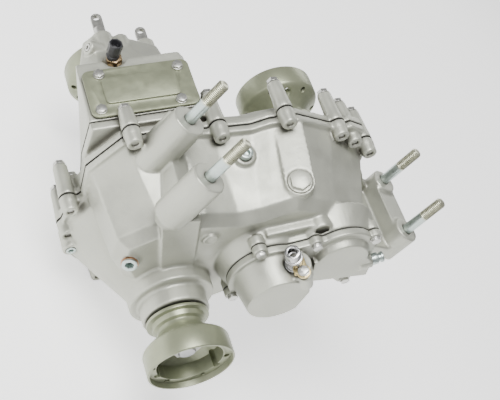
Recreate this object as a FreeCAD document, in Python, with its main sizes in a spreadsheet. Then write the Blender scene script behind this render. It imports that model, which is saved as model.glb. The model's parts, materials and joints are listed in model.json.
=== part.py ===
"""Two-speed transfer gearbox for a four-wheel-drive car, with a lockable centre differential.

Frame: +X runs along the output shafts towards the rear output flange, whose mouth is the origin.
+Z is up, along the four mounting studs. The three shaft lines, output, intermediate and input, are
parallel to X. Sizes are in millimetres.
"""

import FreeCAD, Part
import math
import os

import Sketcher
from fcgear import fcgear, involute

Vector = FreeCAD.Vector
Rotation = FreeCAD.Rotation
Placement = FreeCAD.Placement

ALONG_X = Vector(1, 0, 0)
ALONG_Y = Vector(0, 1, 0)
ALONG_Z = Vector(0, 0, 1)

doc = FreeCAD.newDocument("TransferGearbox")


# ---------------------------------------------------------------- driving dimensions

DIMENSIONS = [
    # alias, value, what it is
    ("gear_module", 2.5, "module of the three spur gear pairs"),
    ("teeth_ring", 52, "ring gear on the differential"),
    ("teeth_output_pinion", 40, "intermediate gear that drives the ring gear"),
    ("teeth_high_drive", 34, "high-range gear on the input shaft"),
    ("teeth_high_driven", 34, "high-range gear on the intermediate shaft"),
    ("teeth_low_drive", 26, "low-range gear on the input shaft"),
    ("teeth_low_driven", 42, "low-range gear on the intermediate shaft"),
    ("teeth_dog", 20, "splines of both sliding sleeves"),
    ("teeth_side", 16, "differential side gears"),
    ("teeth_planet", 10, "differential planet gears"),
    ("teeth_speedo", 14, "speedometer pinion"),
    ("angle_intermediate", 50.5, "direction from the output to the intermediate axis, degrees"),
    ("angle_input", 42.4, "direction from the intermediate to the input axis, degrees"),
    ("rear_mouth", 0, "X of the rear output flange's mouth"),
    ("front_mouth", -451, "X of the front output flange's mouth"),
    ("input_mouth", -328, "X of the input flange's mouth"),
    ("flange_reach", 65, "flange mouth to the end of its hub on the casing"),
    ("flange_radius", 50, "outside of a drive flange"),
    ("flange_rim", 24, "straight part of a flange's rim"),
    ("flange_pocket", 47.7, "inside of the rim"),
    ("flange_bore", 38.5, "inside of the bolting ledge"),
    ("flange_ledge", 7, "depth of the bolting ledge"),
    ("flange_floor", 33, "depth of the flange's floor"),
    ("flange_neck", 27, "neck between the rim and the hub"),
    ("bolt_circle", 43, "radius of the flange's bolt circle"),
    ("flange_hole", 3.4, "radius of a flange bolt hole"),
    ("journal_radius", 20, "flange sleeve that the oil seal runs on"),
    ("spline_radius", 13, "splined shaft end in a flange"),
    ("nut_radius", 17, "flange nut across its corners"),
    ("thread_radius", 10, "shaft thread for the flange nut"),
    ("bearing_bore", 15, "output and input front bearings, inside"),
    ("bearing_outer", 31, "output and input front bearings, outside"),
    ("bearing_width", 16, "output and input front bearings"),
    ("carrier_journal", 25, "differential case journals"),
    ("carrier_bearing", 40, "differential bearings, outside"),
    ("carrier_radius", 46, "differential case"),
    ("carrier_centre", -174, "X of the differential's centre"),
    ("split_x", -210, "X of the joint between the two casing halves"),
    ("front_wall_x", -237, "X of the joint between front casing and front drive housing"),
    ("rear_face_x", -110, "X of the rear casing's end wall"),
    ("cover_joint_x", -86, "X of the rear cover's joint"),
    ("gear_width", 20, "width of the range gears"),
    ("ring_width", 22, "width of the ring gear and its pinion"),
    ("ring_x", -214, "X of the ring gear's front face"),
    ("high_x", -189, "X of the high-range gears' front face"),
    ("low_x", -139, "X of the low-range gears' front face"),
    ("sleeve_width", 16, "width of the sliding sleeves"),
    ("sleeve_radius", 36, "outside of the sliding sleeves"),
    ("shift_travel", 12, "travel of both shift rods"),
    ("rod_radius", 7, "shift rods"),
    ("rod_height", 100, "Z of the shift rods"),
    ("lock_rod_y", -89, "Y of the differential lock rod"),
    ("range_rod_y", -20, "Y of the range rod"),
    ("stud_radius", 6.5, "shank of a mounting stud"),
    ("stud_seat", 180, "Z of the faces that the mounting studs stand in"),
    ("stud_tip", 239, "Z of the mounting studs' tips"),
    ("stud_x_front", -189, "X of the front pair of studs"),
    ("stud_x_rear", -112, "X of the rear pair of studs"),
    ("stud_y_left", -82, "Y of the left pair of studs"),
    ("stud_y_right", 245, "Y of the right pair of studs"),
    ("wall", 7, "casting wall"),
    ("running_gap", 0.05, "radial clearance of a turning or sliding fit"),
    ("gasket", 0.6, "gasket thickness"),
    ("boss_radius", 10, "bosses along the casing joint"),
    ("case_bolt", 4, "radius of the casing bolts"),
    ("small_bolt", 3, "radius of the cover bolts"),
    ("dowel_radius", 3, "dowels across the casing joint"),
    ("worm_radius", 16.5, "speedometer worm on the intermediate shaft"),
    ("speedo_radius", 13.2, "speedometer pinion"),
]

sheet = doc.addObject("Spreadsheet::Sheet", "dims")
for row, (alias, value, meaning) in enumerate(DIMENSIONS, start=1):
    sheet.set(f"A{row}", meaning)
    sheet.set(f"B{row}", str(value))
    sheet.setAlias(f"B{row}", alias)
doc.recompute()


def size(alias):
    """A driving dimension as a plain number."""
    return float(sheet.get(alias))


def value_of(expression):
    """An expression's value as a plain number, in millimetres or degrees."""
    result = sheet.evalExpression(str(expression))
    return float(getattr(result, "Value", result))


# ---------------------------------------------------------------- shaft lines

CENTRE_OUTPUT = size("gear_module") * (size("teeth_ring") + size("teeth_output_pinion")) / 2
CENTRE_INPUT = size("gear_module") * (size("teeth_high_drive") + size("teeth_high_driven")) / 2


def polar(radius, degrees):
    """A (y, z) offset."""
    angle = math.radians(degrees)
    return radius * math.cos(angle), radius * math.sin(angle)


OUTPUT = (0.0, 0.0)
INTERMEDIATE = polar(CENTRE_OUTPUT, size("angle_intermediate"))
_step = polar(CENTRE_INPUT, size("angle_input"))
INPUT = (INTERMEDIATE[0] + _step[0], INTERMEDIATE[1] + _step[1])

LOCK_ROD = (size("lock_rod_y"), size("rod_height"))
RANGE_ROD = (size("range_rod_y"), size("rod_height"))


# ---------------------------------------------------------------- modelling helpers

def set_size(item, name, value):
    """Binds a property to an expression, or sets it to a plain number."""
    if isinstance(value, str):
        item.setExpression(name, value)
    else:
        setattr(item, name, value)


def cylinder(name, radius, length, start, direction=ALONG_X):
    item = doc.addObject("Part::Cylinder", name)
    set_size(item, "Radius", radius)
    set_size(item, "Height", length)
    item.Placement = Placement(Vector(*start), Rotation(ALONG_Z, Vector(direction)))
    return item


def cone(name, radius_start, radius_end, length, start, direction=ALONG_X):
    item = doc.addObject("Part::Cone", name)
    set_size(item, "Radius1", radius_start)
    set_size(item, "Radius2", radius_end)
    set_size(item, "Height", length)
    item.Placement = Placement(Vector(*start), Rotation(ALONG_Z, Vector(direction)))
    return item


def box(name, lengths, placement):
    item = doc.addObject("Part::Box", name)
    for side, value in zip(("Length", "Width", "Height"), lengths):
        set_size(item, side, value)
    item.Placement = placement
    return item


def rounded_box(name, lengths, placement, radius):
    item = doc.addObject("Part::Fillet", name)
    item.Base = box(name + "_box", lengths, placement)
    item.Edges = [(edge, radius, radius) for edge in (1, 3, 5, 7)]
    return item


def hexagon(name, across_corners, length, start, direction=ALONG_X):
    item = doc.addObject("Part::Prism", name)
    item.Polygon = 6
    set_size(item, "Circumradius", across_corners)
    set_size(item, "Height", length)
    item.Placement = Placement(Vector(*start), Rotation(ALONG_Z, Vector(direction)))
    return item


def outline(name, points, x):
    """A closed polygon of (y, z) points in the plane at x."""
    item = doc.addObject("Part::Polygon", name)
    item.Nodes = [Vector(x, y, z) for y, z in points]
    item.Close = True
    return item


def prism(name, points, x, length):
    item = doc.addObject("Part::Extrusion", name)
    item.Base = outline(name + "_outline", points, x)
    item.DirMode = "Custom"
    item.Dir = ALONG_X
    set_size(item, "LengthFwd", length)
    item.Solid = True
    return item


def loft(name, near, x_near, far, x_far):
    """A solid between two polygons with the same number of corners."""
    item = doc.addObject("Part::Loft", name)
    item.Sections = [outline(name + "_a", near, x_near), outline(name + "_b", far, x_far)]
    item.Solid = True
    item.Ruled = True
    return item


def fuse(name, items, refine=True):
    item = doc.addObject("Part::MultiFuse", name)
    item.Shapes = items
    item.Refine = refine
    return item


def cut(name, base, tools):
    tool = tools[0]
    if len(tools) > 1:
        tool = doc.addObject("Part::MultiFuse", name + "_tools")
        tool.Shapes = tools
    item = doc.addObject("Part::Cut", name)
    item.Base = base
    item.Tool = tool
    return item


def group(name, items):
    """Separate identical pieces that share one node."""
    item = doc.addObject("Part::Compound", name)
    item.Links = items
    return item


def turned(name, profile, axis=OUTPUT):
    """A PartDesign body turned about a shaft line from (x, radius) expressions."""
    body = doc.addObject("PartDesign::Body", name)
    sketch = body.newObject("Sketcher::SketchObject", name + "_profile")
    plane = [f for f in body.Origin.OriginFeatures if f.Role == "XY_Plane"][0]
    sketch.AttachmentSupport = [(plane, "")]
    sketch.MapMode = "FlatFace"
    points = [(value_of(x), value_of(radius)) for x, radius in profile]
    count = len(points)
    for k in range(count):
        start, end = points[k], points[(k + 1) % count]
        sketch.addGeometry(Part.LineSegment(Vector(*start, 0), Vector(*end, 0)))
    for k in range(count):
        sketch.addConstraint(Sketcher.Constraint("Coincident", k, 2, (k + 1) % count, 1))
    for k, expressions in enumerate(profile):
        for kind, value, expression in zip(("DistanceX", "DistanceY"), points[k], expressions):
            constraint = Sketcher.Constraint(kind, -1, 1, k, 1, value)
            index = sketch.addConstraint(constraint)
            if isinstance(expression, str):
                sketch.setExpression(f"Constraints[{index}]", expression)
    turn = body.newObject("PartDesign::Revolution", name + "_turned")
    turn.Profile = sketch
    turn.ReferenceAxis = (sketch, ["H_Axis"])
    turn.Angle = 360
    body.Placement = Placement(Vector(0, *axis), Rotation())
    return body


def ring(name, inner, outer, x, width, axis=OUTPUT):
    """A turned ring between two radii, from x towards +X."""
    end = f"{x} + {width}"
    return turned(name, [(x, inner), (x, outer), (end, outer), (end, inner)], axis)


def at(x, axis, dy=0.0, dz=0.0):
    """A point on a shaft line."""
    return (value_of(x), axis[0] + dy, axis[1] + dz)


nodes = {}


def node(name, item):
    """Registers a finished sub-part under the name of its file."""
    item.Label = name
    nodes[name] = item
    return item


# ---------------------------------------------------------------- gears and splines

def spur_profile(name, teeth, x, axis, turn=0.0, shift=0.0):
    """An involute gear outline in the plane at x."""
    builder = fcgear.FCWireBuilder()
    involute.CreateExternalGear(builder, size("gear_module"), teeth, 20.0, True, shiftCoeff=shift)
    item = doc.addObject("Part::Feature", name + "_teeth")
    item.Shape = Part.Wire([piece.toShape() for piece in builder.wire])
    upright = Rotation(ALONG_Y, 90)
    item.Placement = Placement(Vector(*at(x, axis)), Rotation(ALONG_X, turn) * upright)
    return item


def spur(name, teeth_alias, x, width, axis, turn=0.0):
    """A straight-toothed gear blank without its bore. Its profile is shifted in for backlash."""
    backlash_shift = -0.03
    item = doc.addObject("Part::Extrusion", name)
    item.Base = spur_profile(name, int(size(teeth_alias)), x, axis, turn, backlash_shift)
    item.DirMode = "Custom"
    item.Dir = ALONG_X
    set_size(item, "LengthFwd", width)
    item.Solid = True
    return item


def spline_points(root, tip, share):
    """The corners of a toothed ring; share is the part of each pitch that a tooth fills."""
    count = int(size("teeth_dog"))
    pitch = 360.0 / count
    corners = []
    for k in range(count):
        middle = k * pitch
        half = pitch * share / 2
        corners.append(polar(root, middle - half))
        corners.append(polar(tip, middle - half))
        corners.append(polar(tip, middle + half))
        corners.append(polar(root, middle + half))
    return corners


DOG_ROOT = 24.0
DOG_TIP = 27.0
DOG_GAP = 0.4


def dogs(name, x, width, axis):
    """An externally splined ring, solid to its axis."""
    corners = spline_points(DOG_ROOT, DOG_TIP, 0.44)
    return prism(name, [(y + axis[0], z + axis[1]) for y, z in corners], value_of(x), width)


def sleeve(name, x, axis):
    """A sliding sleeve with inner splines and a groove for its fork."""
    groove = 7.6
    blank = ring(name + "_blank", "dims.sleeve_radius - 16", "dims.sleeve_radius", x,
                 "dims.sleeve_width", axis)
    corners = spline_points(DOG_ROOT + DOG_GAP, DOG_TIP + DOG_GAP, 0.52)
    bore = prism(name + "_splines", [(y + axis[0], z + axis[1]) for y, z in corners],
                 value_of(x) - 1, "dims.sleeve_width + 2")
    side = f"({x}) + (dims.sleeve_width - {groove}) / 2"
    channel = ring(name + "_groove", "dims.sleeve_radius - 4.5", "dims.sleeve_radius + 2", side,
                   str(groove), axis)
    return cut(name, blank, [bore, channel])


class Bevel:
    """A straight-toothed bevel gear with its apex at the differential's centre."""

    cone_distance = 33.02
    inner_share = 0.70
    pressure = math.radians(25)
    play = 0.30

    def __init__(self, teeth, mate, addendum, dedendum):
        self.teeth = teeth
        self.angle = math.atan2(teeth, mate)
        self.addendum = addendum
        self.dedendum = dedendum

    def virtual_radius(self):
        return self.cone_distance * math.tan(self.angle)

    def half_angle(self, radius):
        """Half of a tooth's angle at a radius of the virtual spur gear."""
        pitch_radius = self.virtual_radius()
        base = pitch_radius * math.cos(self.pressure)
        virtual_teeth = self.teeth / math.cos(self.angle)
        flank = math.acos(min(1.0, base / max(radius, base)))
        involute_pitch = math.tan(self.pressure) - self.pressure
        involute_here = math.tan(flank) - flank
        at_pitch = math.pi / (2 * virtual_teeth) - self.play / (2 * pitch_radius)
        return at_pitch + involute_pitch - involute_here

    def point(self, radius, half, share):
        """A flank point: its distance along the axis, and its radius and turn about it."""
        cosine, sine = math.cos(self.angle), math.sin(self.angle)
        along = self.cone_distance / cosine - radius * sine
        out = radius * cosine
        turn = half / cosine
        # every point slides along its ray from the apex into one plane, so the tooth's ends are flat
        reach = (along * cosine + out * math.cos(turn) * sine) / self.cone_distance
        scale = share / reach
        return Vector(along * scale, out * math.sin(turn) * scale, out * math.cos(turn) * scale)

    def section(self, share):
        pitch_radius = self.virtual_radius()
        low = pitch_radius - self.dedendum - 0.8
        high = pitch_radius + self.addendum
        radii = [low + (high - low) * k / 6 for k in range(7)]
        right = [self.point(radius, self.half_angle(radius), share) for radius in radii]
        left = [Vector(p.x, -p.y, p.z) for p in reversed(right)]
        return right + left

    def tooth(self):
        wires = [Part.makePolygon(ring_ + ring_[:1])
                 for ring_ in (self.section(1.0), self.section(self.inner_share))]
        return Part.makeLoft(wires, True, True)

    def root(self, share):
        """A point of the root cone: its distance along the axis and its radius."""
        cosine, sine = math.cos(self.angle), math.sin(self.angle)
        along = (self.cone_distance * cosine + self.dedendum * sine) * share
        out = (self.cone_distance * sine - self.dedendum * cosine) * share
        return along, out

    def shape(self, back, back_radius, bore, turn):
        """The whole gear, its axis along +X from the apex."""
        inner, outer = self.root(self.inner_share), self.root(1.0)
        rim = (outer[0] + 1.2, outer[1] + 0.9)
        corners = [(inner[0], bore), inner, outer, rim, (back, back_radius), (back, bore)]
        face = Part.Face(Part.makePolygon([Vector(a, 0, r) for a, r in corners + corners[:1]]))
        blank = face.revolve(Vector(), ALONG_X, 360)
        tooth = self.tooth()
        teeth = []
        for k in range(self.teeth):
            copy = tooth.copy()
            copy.rotate(Vector(), ALONG_X, turn + 360.0 * k / self.teeth)
            teeth.append(copy)
        return blank.multiFuse(teeth).removeSplitter()


def bevel_gear(name, teeth_alias, mate_alias, addendum, dedendum, back, back_radius, bore, turn, rotation):
    gear = Bevel(int(size(teeth_alias)), int(size(mate_alias)), addendum, dedendum)
    item = doc.addObject("Part::Feature", name)
    item.Shape = gear.shape(back, back_radius, bore, turn)
    item.Placement = Placement(Vector(size("carrier_centre"), 0, 0), rotation)
    return item


# ---------------------------------------------------------------- drive flanges

def drive_flange(name, mouth, inward, axis, facing):
    """A cup-shaped flange. inward is '-' when the casing lies towards -X of the mouth."""
    def x(distance):
        return f"dims.{mouth} {inward} {distance}"

    profile = [
        (x("0"), "dims.flange_pocket"),
        (x("0"), "dims.flange_radius - 0.8"),
        (x("0.8"), "dims.flange_radius"),
        (x("dims.flange_rim"), "dims.flange_radius"),
        (x("(dims.flange_rim + 3)"), "dims.flange_radius - 1.5"),
        (x("(dims.flange_rim + 6)"), "dims.flange_radius - 5"),
        (x("(dims.flange_rim + 11)"), "dims.flange_radius - 14"),
        (x("(dims.flange_rim + 17)"), "dims.flange_neck + 3"),
        (x("(dims.flange_rim + 21)"), "dims.flange_neck"),
        (x("50"), "dims.flange_neck"),
        (x("52"), "dims.flange_neck + 3.5"),
        (x("57.5"), "dims.flange_neck + 4.5"),
        (x("58.5"), "dims.flange_neck + 9.5"),
        (x("62"), "dims.flange_neck + 9.5"),
        (x("62"), "dims.journal_radius"),
        (x("78.5"), "dims.journal_radius"),
        (x("78.5"), "dims.spline_radius"),
        (x("dims.flange_floor"), "dims.spline_radius"),
        (x("dims.flange_floor"), "24"),
        (x("(dims.flange_floor - 2)"), "27"),
        (x("(dims.flange_floor - 9)"), "dims.flange_bore"),
        (x("dims.flange_ledge"), "dims.flange_bore"),
        (x("dims.flange_ledge"), "dims.flange_pocket"),
    ]
    blank = turned(name + "_blank", profile, axis)
    count = 6
    start = value_of(x("0"))
    depth = -45.0 if inward == "-" else 45.0
    holes = []
    for k in range(count):
        y, z = polar(size("bolt_circle"), 30 + k * 360 / count)
        holes.append(cylinder(f"{name}_hole_{k}", "dims.flange_hole", abs(depth),
                              (min(start, start + depth), axis[0] + y, axis[1] + z)))
    for k in range(3):
        y, z = polar(size("bolt_circle") - 3.2, k * 120)
        holes.append(cylinder(f"{name}_drain_{k}", 4.2, abs(depth),
                              (min(start, start + depth), axis[0] + y, axis[1] + z)))
    return node(facing + "_flange", cut(name, blank, holes))


def flange_nut(name, mouth, inward, axis):
    """A flanged hexagon nut on the floor of the cup."""
    floor = value_of(f"dims.{mouth} {inward} dims.flange_floor")
    sign = 1 if inward == "-" else -1
    start = (floor, *axis)
    direction = ALONG_X * sign
    parts = [
        hexagon(name + "_hexagon", "dims.nut_radius", 11, start, direction),
        cylinder(name + "_collar", "dims.nut_radius + 3", 3, start, direction),
    ]
    hole = cylinder(name + "_thread", "dims.thread_radius", 20, start, direction)
    return node(name, cut(name + "_cut", fuse(name + "_blank", parts), [hole]))


drive_flange("rear_flange", "rear_mouth", "-", OUTPUT, "rear_output")
drive_flange("front_flange", "front_mouth", "+", OUTPUT, "front_output")
drive_flange("entry_flange", "input_mouth", "+", INPUT, "input")
flange_nut("rear_flange_nut", "rear_mouth", "-", OUTPUT)
flange_nut("front_flange_nut", "front_mouth", "+", OUTPUT)
flange_nut("input_flange_nut", "input_mouth", "+", INPUT)


# ---------------------------------------------------------------- differential

ring_start = "dims.ring_x"
ring_end = "dims.ring_x + dims.ring_width"
case_profile = [
    ("dims.carrier_centre + 63", 18),
    ("dims.carrier_centre + 63", "dims.carrier_journal"),
    ("dims.carrier_centre + 37", "dims.carrier_journal"),
    ("dims.carrier_centre + 37", 40),
    ("dims.carrier_centre + 31", "dims.carrier_radius"),
    ("dims.ring_x + dims.ring_width + 8", "dims.carrier_radius"),
    ("dims.ring_x + dims.ring_width + 8", 60),
    (ring_end, 60),
    (ring_end, "dims.carrier_radius"),
    ("dims.carrier_centre - 37", "dims.carrier_radius"),
    ("dims.carrier_centre - 37", "dims.carrier_journal"),
    ("dims.carrier_centre - 66", "dims.carrier_journal"),
    ("dims.carrier_centre - 66", 22),
    ("dims.carrier_centre - 76", 22),
    ("dims.carrier_centre - 76", 18),
    ("dims.carrier_centre - 29", 18),
    ("dims.carrier_centre - 29", 38),
    ("dims.carrier_centre + 29", 38),
    ("dims.carrier_centre + 29", 18),
]
case_blank = fuse("carrier_blank", [
    turned("carrier_turned", case_profile),
    cut("carrier_dog_ring", dogs("carrier_dogs", "dims.carrier_centre - 76", 10, OUTPUT),
        [cylinder("carrier_dog_bore", 18, 12, at("dims.carrier_centre - 77", OUTPUT))]),
])
BOLT_CIRCLE_RING = 53
RING_BOLTS = 8
window = box("carrier_window", (34, 120, 40),
             Placement(Vector(size("carrier_centre") - 10, -60, -20), Rotation()))
pin_hole = cylinder("carrier_pin_hole", 8, 120, (size("carrier_centre"), 0, -60), ALONG_Z)


def ring_bolt_holes(name, radius, x, length):
    holes = []
    for k in range(RING_BOLTS):
        y, z = polar(BOLT_CIRCLE_RING, (k + 0.5) * 360 / RING_BOLTS)
        holes.append(cylinder(f"{name}_{k}", radius, length, (value_of(x), y, z)))
    return holes


node("differential_case", cut("carrier", case_blank, [window, pin_hole]
                              + ring_bolt_holes("carrier_bolt_hole", 4, "dims.ring_x", 40)))

ring_bore = cylinder("ring_bore", "dims.carrier_radius", 40, at("dims.ring_x - 5", OUTPUT))
node("ring_gear", cut("ring_gear_cut", spur("ring_gear_blank", "teeth_ring", ring_start, "dims.ring_width",
                                            OUTPUT, 360 / size("teeth_ring") / 2
                                            + size("angle_intermediate")),
                      [ring_bore] + ring_bolt_holes("ring_bolt_hole", 4, "dims.ring_x - 1", 30)))

ring_bolts = []
for k in range(RING_BOLTS):
    y, z = polar(BOLT_CIRCLE_RING, (k + 0.5) * 360 / RING_BOLTS)
    head_x = value_of("dims.ring_x + dims.ring_width + 8")
    ring_bolts.append(fuse(f"ring_bolt_{k}", [
        hexagon(f"ring_bolt_head_{k}", 6, 5, (head_x, y, z)),
        cylinder(f"ring_bolt_shank_{k}", 4, 26, (head_x - 26, y, z)),
    ]))
node("ring_gear_bolts", group("ring_gear_bolt_group", ring_bolts))

node("planet_pin", cylinder("planet_pin_rod", 8, "2 * dims.carrier_radius - 2",
                            (size("carrier_centre"), 0, 1 - size("carrier_radius")), ALONG_Z))

SIDE = dict(addendum=2.6, dedendum=4.6, back=28.0, back_radius=22.0, bore=14.0)
PLANET = dict(addendum=3.4, dedendum=4.0, back=35.0, back_radius=12.0, bore=8.05)
half_planet = 180 / size("teeth_planet")
node("rear_side_gear", bevel_gear("rear_side", "teeth_side", "teeth_planet", turn=0.0,
                                  rotation=Rotation(), **SIDE))
node("front_side_gear", bevel_gear("front_side", "teeth_side", "teeth_planet", turn=0.0,
                                   rotation=Rotation(ALONG_Z, 180), **SIDE))
node("upper_planet_gear", bevel_gear("upper_planet", "teeth_planet", "teeth_side", turn=half_planet,
                                     rotation=Rotation(ALONG_Y, -90), **PLANET))
node("lower_planet_gear", bevel_gear("lower_planet", "teeth_planet", "teeth_side", turn=half_planet,
                                     rotation=Rotation(ALONG_Y, 90), **PLANET))


# ---------------------------------------------------------------- output shafts

def shaft_end(mouth, inward):
    """The thread, spline and bearing journal that every flanged shaft ends with."""
    def x(distance):
        return f"dims.{mouth} {inward} {distance}"

    return [
        (x("18"), 0),
        (x("18"), "dims.thread_radius - 1"),
        (x("19"), "dims.thread_radius"),
        (x("dims.flange_floor"), "dims.thread_radius"),
        (x("dims.flange_floor"), "dims.spline_radius"),
        (x("79"), "dims.spline_radius"),
        (x("79"), "dims.bearing_bore - dims.running_gap"),
        (x("96"), "dims.bearing_bore - dims.running_gap"),
    ]


node("rear_output_shaft", turned("rear_shaft", shaft_end("rear_mouth", "-") + [
    (value_of("dims.rear_mouth - 96"), 17),
    ("dims.carrier_centre + 29", 17),
    ("dims.carrier_centre + 29", 14),
    ("dims.carrier_centre + 11", 14),
    ("dims.carrier_centre + 11", 0),
]))

front_shaft = turned("front_shaft", shaft_end("front_mouth", "+") + [
    (value_of("dims.front_mouth + 96"), 17),
    ("dims.carrier_centre - 29", 17),
    ("dims.carrier_centre - 29", 14),
    ("dims.carrier_centre - 11", 14),
    ("dims.carrier_centre - 11", 0),
])
node("front_output_shaft", fuse("front_shaft_splined", [
    front_shaft,
    dogs("lock_hub", "dims.carrier_centre - 98", 20, OUTPUT),
]))
node("lock_sleeve", sleeve("lock_sleeve_cut", "dims.carrier_centre - 98", OUTPUT))


# ---------------------------------------------------------------- intermediate and input shafts

node("intermediate_shaft", fuse("cluster", [
    turned("cluster_shaft", [
        ("dims.front_wall_x + 1", 0),
        ("dims.front_wall_x + 1", "17.5 - dims.running_gap"),
        ("dims.ring_x - 6", "17.5 - dims.running_gap"),
        ("dims.ring_x - 6", 26),
        ("dims.high_x + dims.gear_width", 26),
        ("dims.high_x + dims.gear_width", 22),
        ("dims.low_x", 22),
        ("dims.low_x", 26),
        ("dims.low_x + dims.gear_width + 12", 26),
        ("dims.low_x + dims.gear_width + 12", "17.5 - dims.running_gap"),
        ("dims.cover_joint_x - 1", "17.5 - dims.running_gap"),
        ("dims.cover_joint_x - 1", 9),
        ("dims.cover_joint_x + 38", 9),
        ("dims.cover_joint_x + 38", 0),
    ], INTERMEDIATE),
    spur("output_pinion", "teeth_output_pinion", ring_start, "dims.ring_width", INTERMEDIATE,
         size("angle_intermediate")),
    spur("high_driven", "teeth_high_driven", "dims.high_x", "dims.gear_width", INTERMEDIATE,
         size("angle_input")),
    spur("low_driven", "teeth_low_driven", "dims.low_x", "dims.gear_width", INTERMEDIATE,
         size("angle_input")),
]))

worm_blank = ring("worm_blank", 9, "dims.worm_radius", "dims.cover_joint_x + 14", "20", INTERMEDIATE)
worm_grooves = [ring(f"worm_thread_{k}", "dims.worm_radius - 1.8", "dims.worm_radius + 1",
                     f"dims.cover_joint_x + {15.2 + 3.4 * k}", "1.6", INTERMEDIATE) for k in range(6)]
node("speedo_worm", cut("speedo_worm_cut", worm_blank, worm_grooves))

node("input_shaft", fuse("input_shaft_splined", [
    turned("input_turned", shaft_end("input_mouth", "+") + [
        (value_of("dims.input_mouth + 96"), 20),
        ("dims.high_x - 1", 20),
        ("dims.high_x - 1", "17 - dims.running_gap"),
        ("dims.low_x + dims.gear_width + 13", "17 - dims.running_gap"),
        ("dims.low_x + dims.gear_width + 13", "12.5 - dims.running_gap"),
        ("dims.cover_joint_x - 1", "12.5 - dims.running_gap"),
        ("dims.cover_joint_x - 1", 0),
    ], INPUT),
    dogs("range_hub", "dims.high_x + dims.gear_width + 7", 16, INPUT),
]))


def input_gear(name, teeth_alias, x, dog_x, turn):
    """A gear that runs free on the input shaft, with a dog ring at its side."""
    blank = fuse(name + "_blank", [
        spur(name + "_rim", teeth_alias, x, "dims.gear_width", INPUT, turn),
        dogs(name + "_dogs", dog_x, 6.5, INPUT),
    ])
    return node(name, cut(name + "_cut", blank, [
        cylinder(name + "_bore", 17, 60, at(f"{x} - 15", INPUT)),
    ]))


def facing_gap(teeth_alias):
    """The turn that puts a gap of an input gear on the line to the intermediate shaft."""
    return size("angle_input") + 180 + 180 / size(teeth_alias)


input_gear("high_gear", "teeth_high_drive", "dims.high_x", "dims.high_x + dims.gear_width - 0.5",
           facing_gap("teeth_high_drive"))
input_gear("low_gear", "teeth_low_drive", "dims.low_x", "dims.low_x - 6", facing_gap("teeth_low_drive"))
node("range_sleeve", sleeve("range_sleeve_cut", "dims.high_x + dims.gear_width + 1", INPUT))


# ---------------------------------------------------------------- bearings and seals

def bearing(name, inner, outer, x, width, axis):
    """A ball bearing drawn as one ring with a groove between its races on each side."""
    end = f"{x} + {width}"
    low, high = f"({inner}) + 0.28 * (({outer}) - ({inner}))", f"({outer}) - 0.28 * (({outer}) - ({inner}))"
    return turned(name, [
        (x, inner), (x, low), (f"{x} + 2", low), (f"{x} + 2", high), (x, high), (x, outer),
        (end, outer), (end, high), (f"{end} - 2", high), (f"{end} - 2", low), (end, low), (end, inner),
    ], axis)


node("output_bearings", group("output_bearing_pair", [
    bearing("rear_output_bearing", "dims.bearing_bore", "dims.bearing_outer", "dims.rear_mouth - 95",
            "dims.bearing_width", OUTPUT),
    bearing("front_output_bearing", "dims.bearing_bore", "dims.bearing_outer", "dims.front_mouth + 79",
            "dims.bearing_width", OUTPUT),
]))
node("differential_bearings", group("differential_bearing_pair", [
    bearing("rear_carrier_bearing", "dims.carrier_journal + dims.running_gap", "dims.carrier_bearing",
            "dims.carrier_centre + 46", "16", OUTPUT),
    bearing("front_carrier_bearing", "dims.carrier_journal + dims.running_gap", "dims.carrier_bearing",
            "dims.front_wall_x - 1", "16", OUTPUT),
]))
node("intermediate_bearings", group("intermediate_bearing_pair", [
    bearing("rear_cluster_bearing", "17.5", "36", "dims.cover_joint_x - 18", "17", INTERMEDIATE),
    bearing("front_cluster_bearing", "17.5", "36", "dims.front_wall_x - 1", "15", INTERMEDIATE),
]))
node("input_bearings", group("input_bearing_pair", [
    bearing("front_input_bearing", "dims.bearing_bore", "dims.bearing_outer", "dims.input_mouth + 79",
            "dims.bearing_width", INPUT),
    bearing("rear_input_bearing", "12.5", "26", "dims.cover_joint_x - 18", "15", INPUT),
]))


def seal(name, mouth, inward, axis):
    start = f"dims.{mouth} {inward} {'77' if inward == '-' else '67'}"
    return ring(name, "dims.journal_radius + dims.running_gap", "dims.bearing_outer", start, "10", axis)


node("oil_seals", group("oil_seal_group", [
    seal("rear_output_seal", "rear_mouth", "-", OUTPUT),
    seal("front_output_seal", "front_mouth", "+", OUTPUT),
    seal("input_seal", "input_mouth", "+", INPUT),
]))


# ---------------------------------------------------------------- casing outlines, as (y, z) corners

CASE_AT_SPLIT = [
    (-104, 20), (-122, 56), (-112, 108), (-60, 143), (-25, 157), (16, 180), (30, 196), (57, 214),
    (113, 219), (185, 202), (214, 150), (191, 92), (76, -71), (-40, -40),
]
CASE_AT_REAR = [
    (-92, 20), (-108, 53), (-79, 96), (-39, 123), (-1, 136), (18, 151), (29, 163), (48, 184),
    (100, 190), (156, 187), (184, 150), (165, 108), (60, -40), (-30, -25),
]
CASE_AT_FRONT = [
    (-100, 18), (-116, 56), (-106, 102), (-58, 133), (-22, 146), (18, 166), (34, 180), (60, 200),
    (110, 206), (176, 192), (200, 150), (180, 98), (70, -62), (-38, -36),
]
CASE_BOLTS = [
    # y, z, length of the front boss
    (-113, 124, 27), (-23, 167, 42), (38, 216, 40), (119, 223, 44), (146, 220, 40), (182, 212, 44),
    (205, 108, 44), (152, 20, 44), (90, -64, 44), (0, -110, 44), (-89, -43, 44), (-112, -2, 44),
]
TOWER_AT_WALL = [
    (-139, 93), (-37, 162), (-26, 158), (4, 138), (10, 104), (20, 64), (66, 20), (60, -40),
    (0, -70), (-55, -55), (-88, -2), (-118, 46),
]
TOWER_AT_STEP = [
    (-137, 94), (-38, 161), (-28, 157), (0, 138), (4, 100), (14, 60), (44, 14), (40, -28),
    (0, -50), (-38, -38), (-66, 0), (-104, 50),
]
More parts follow.
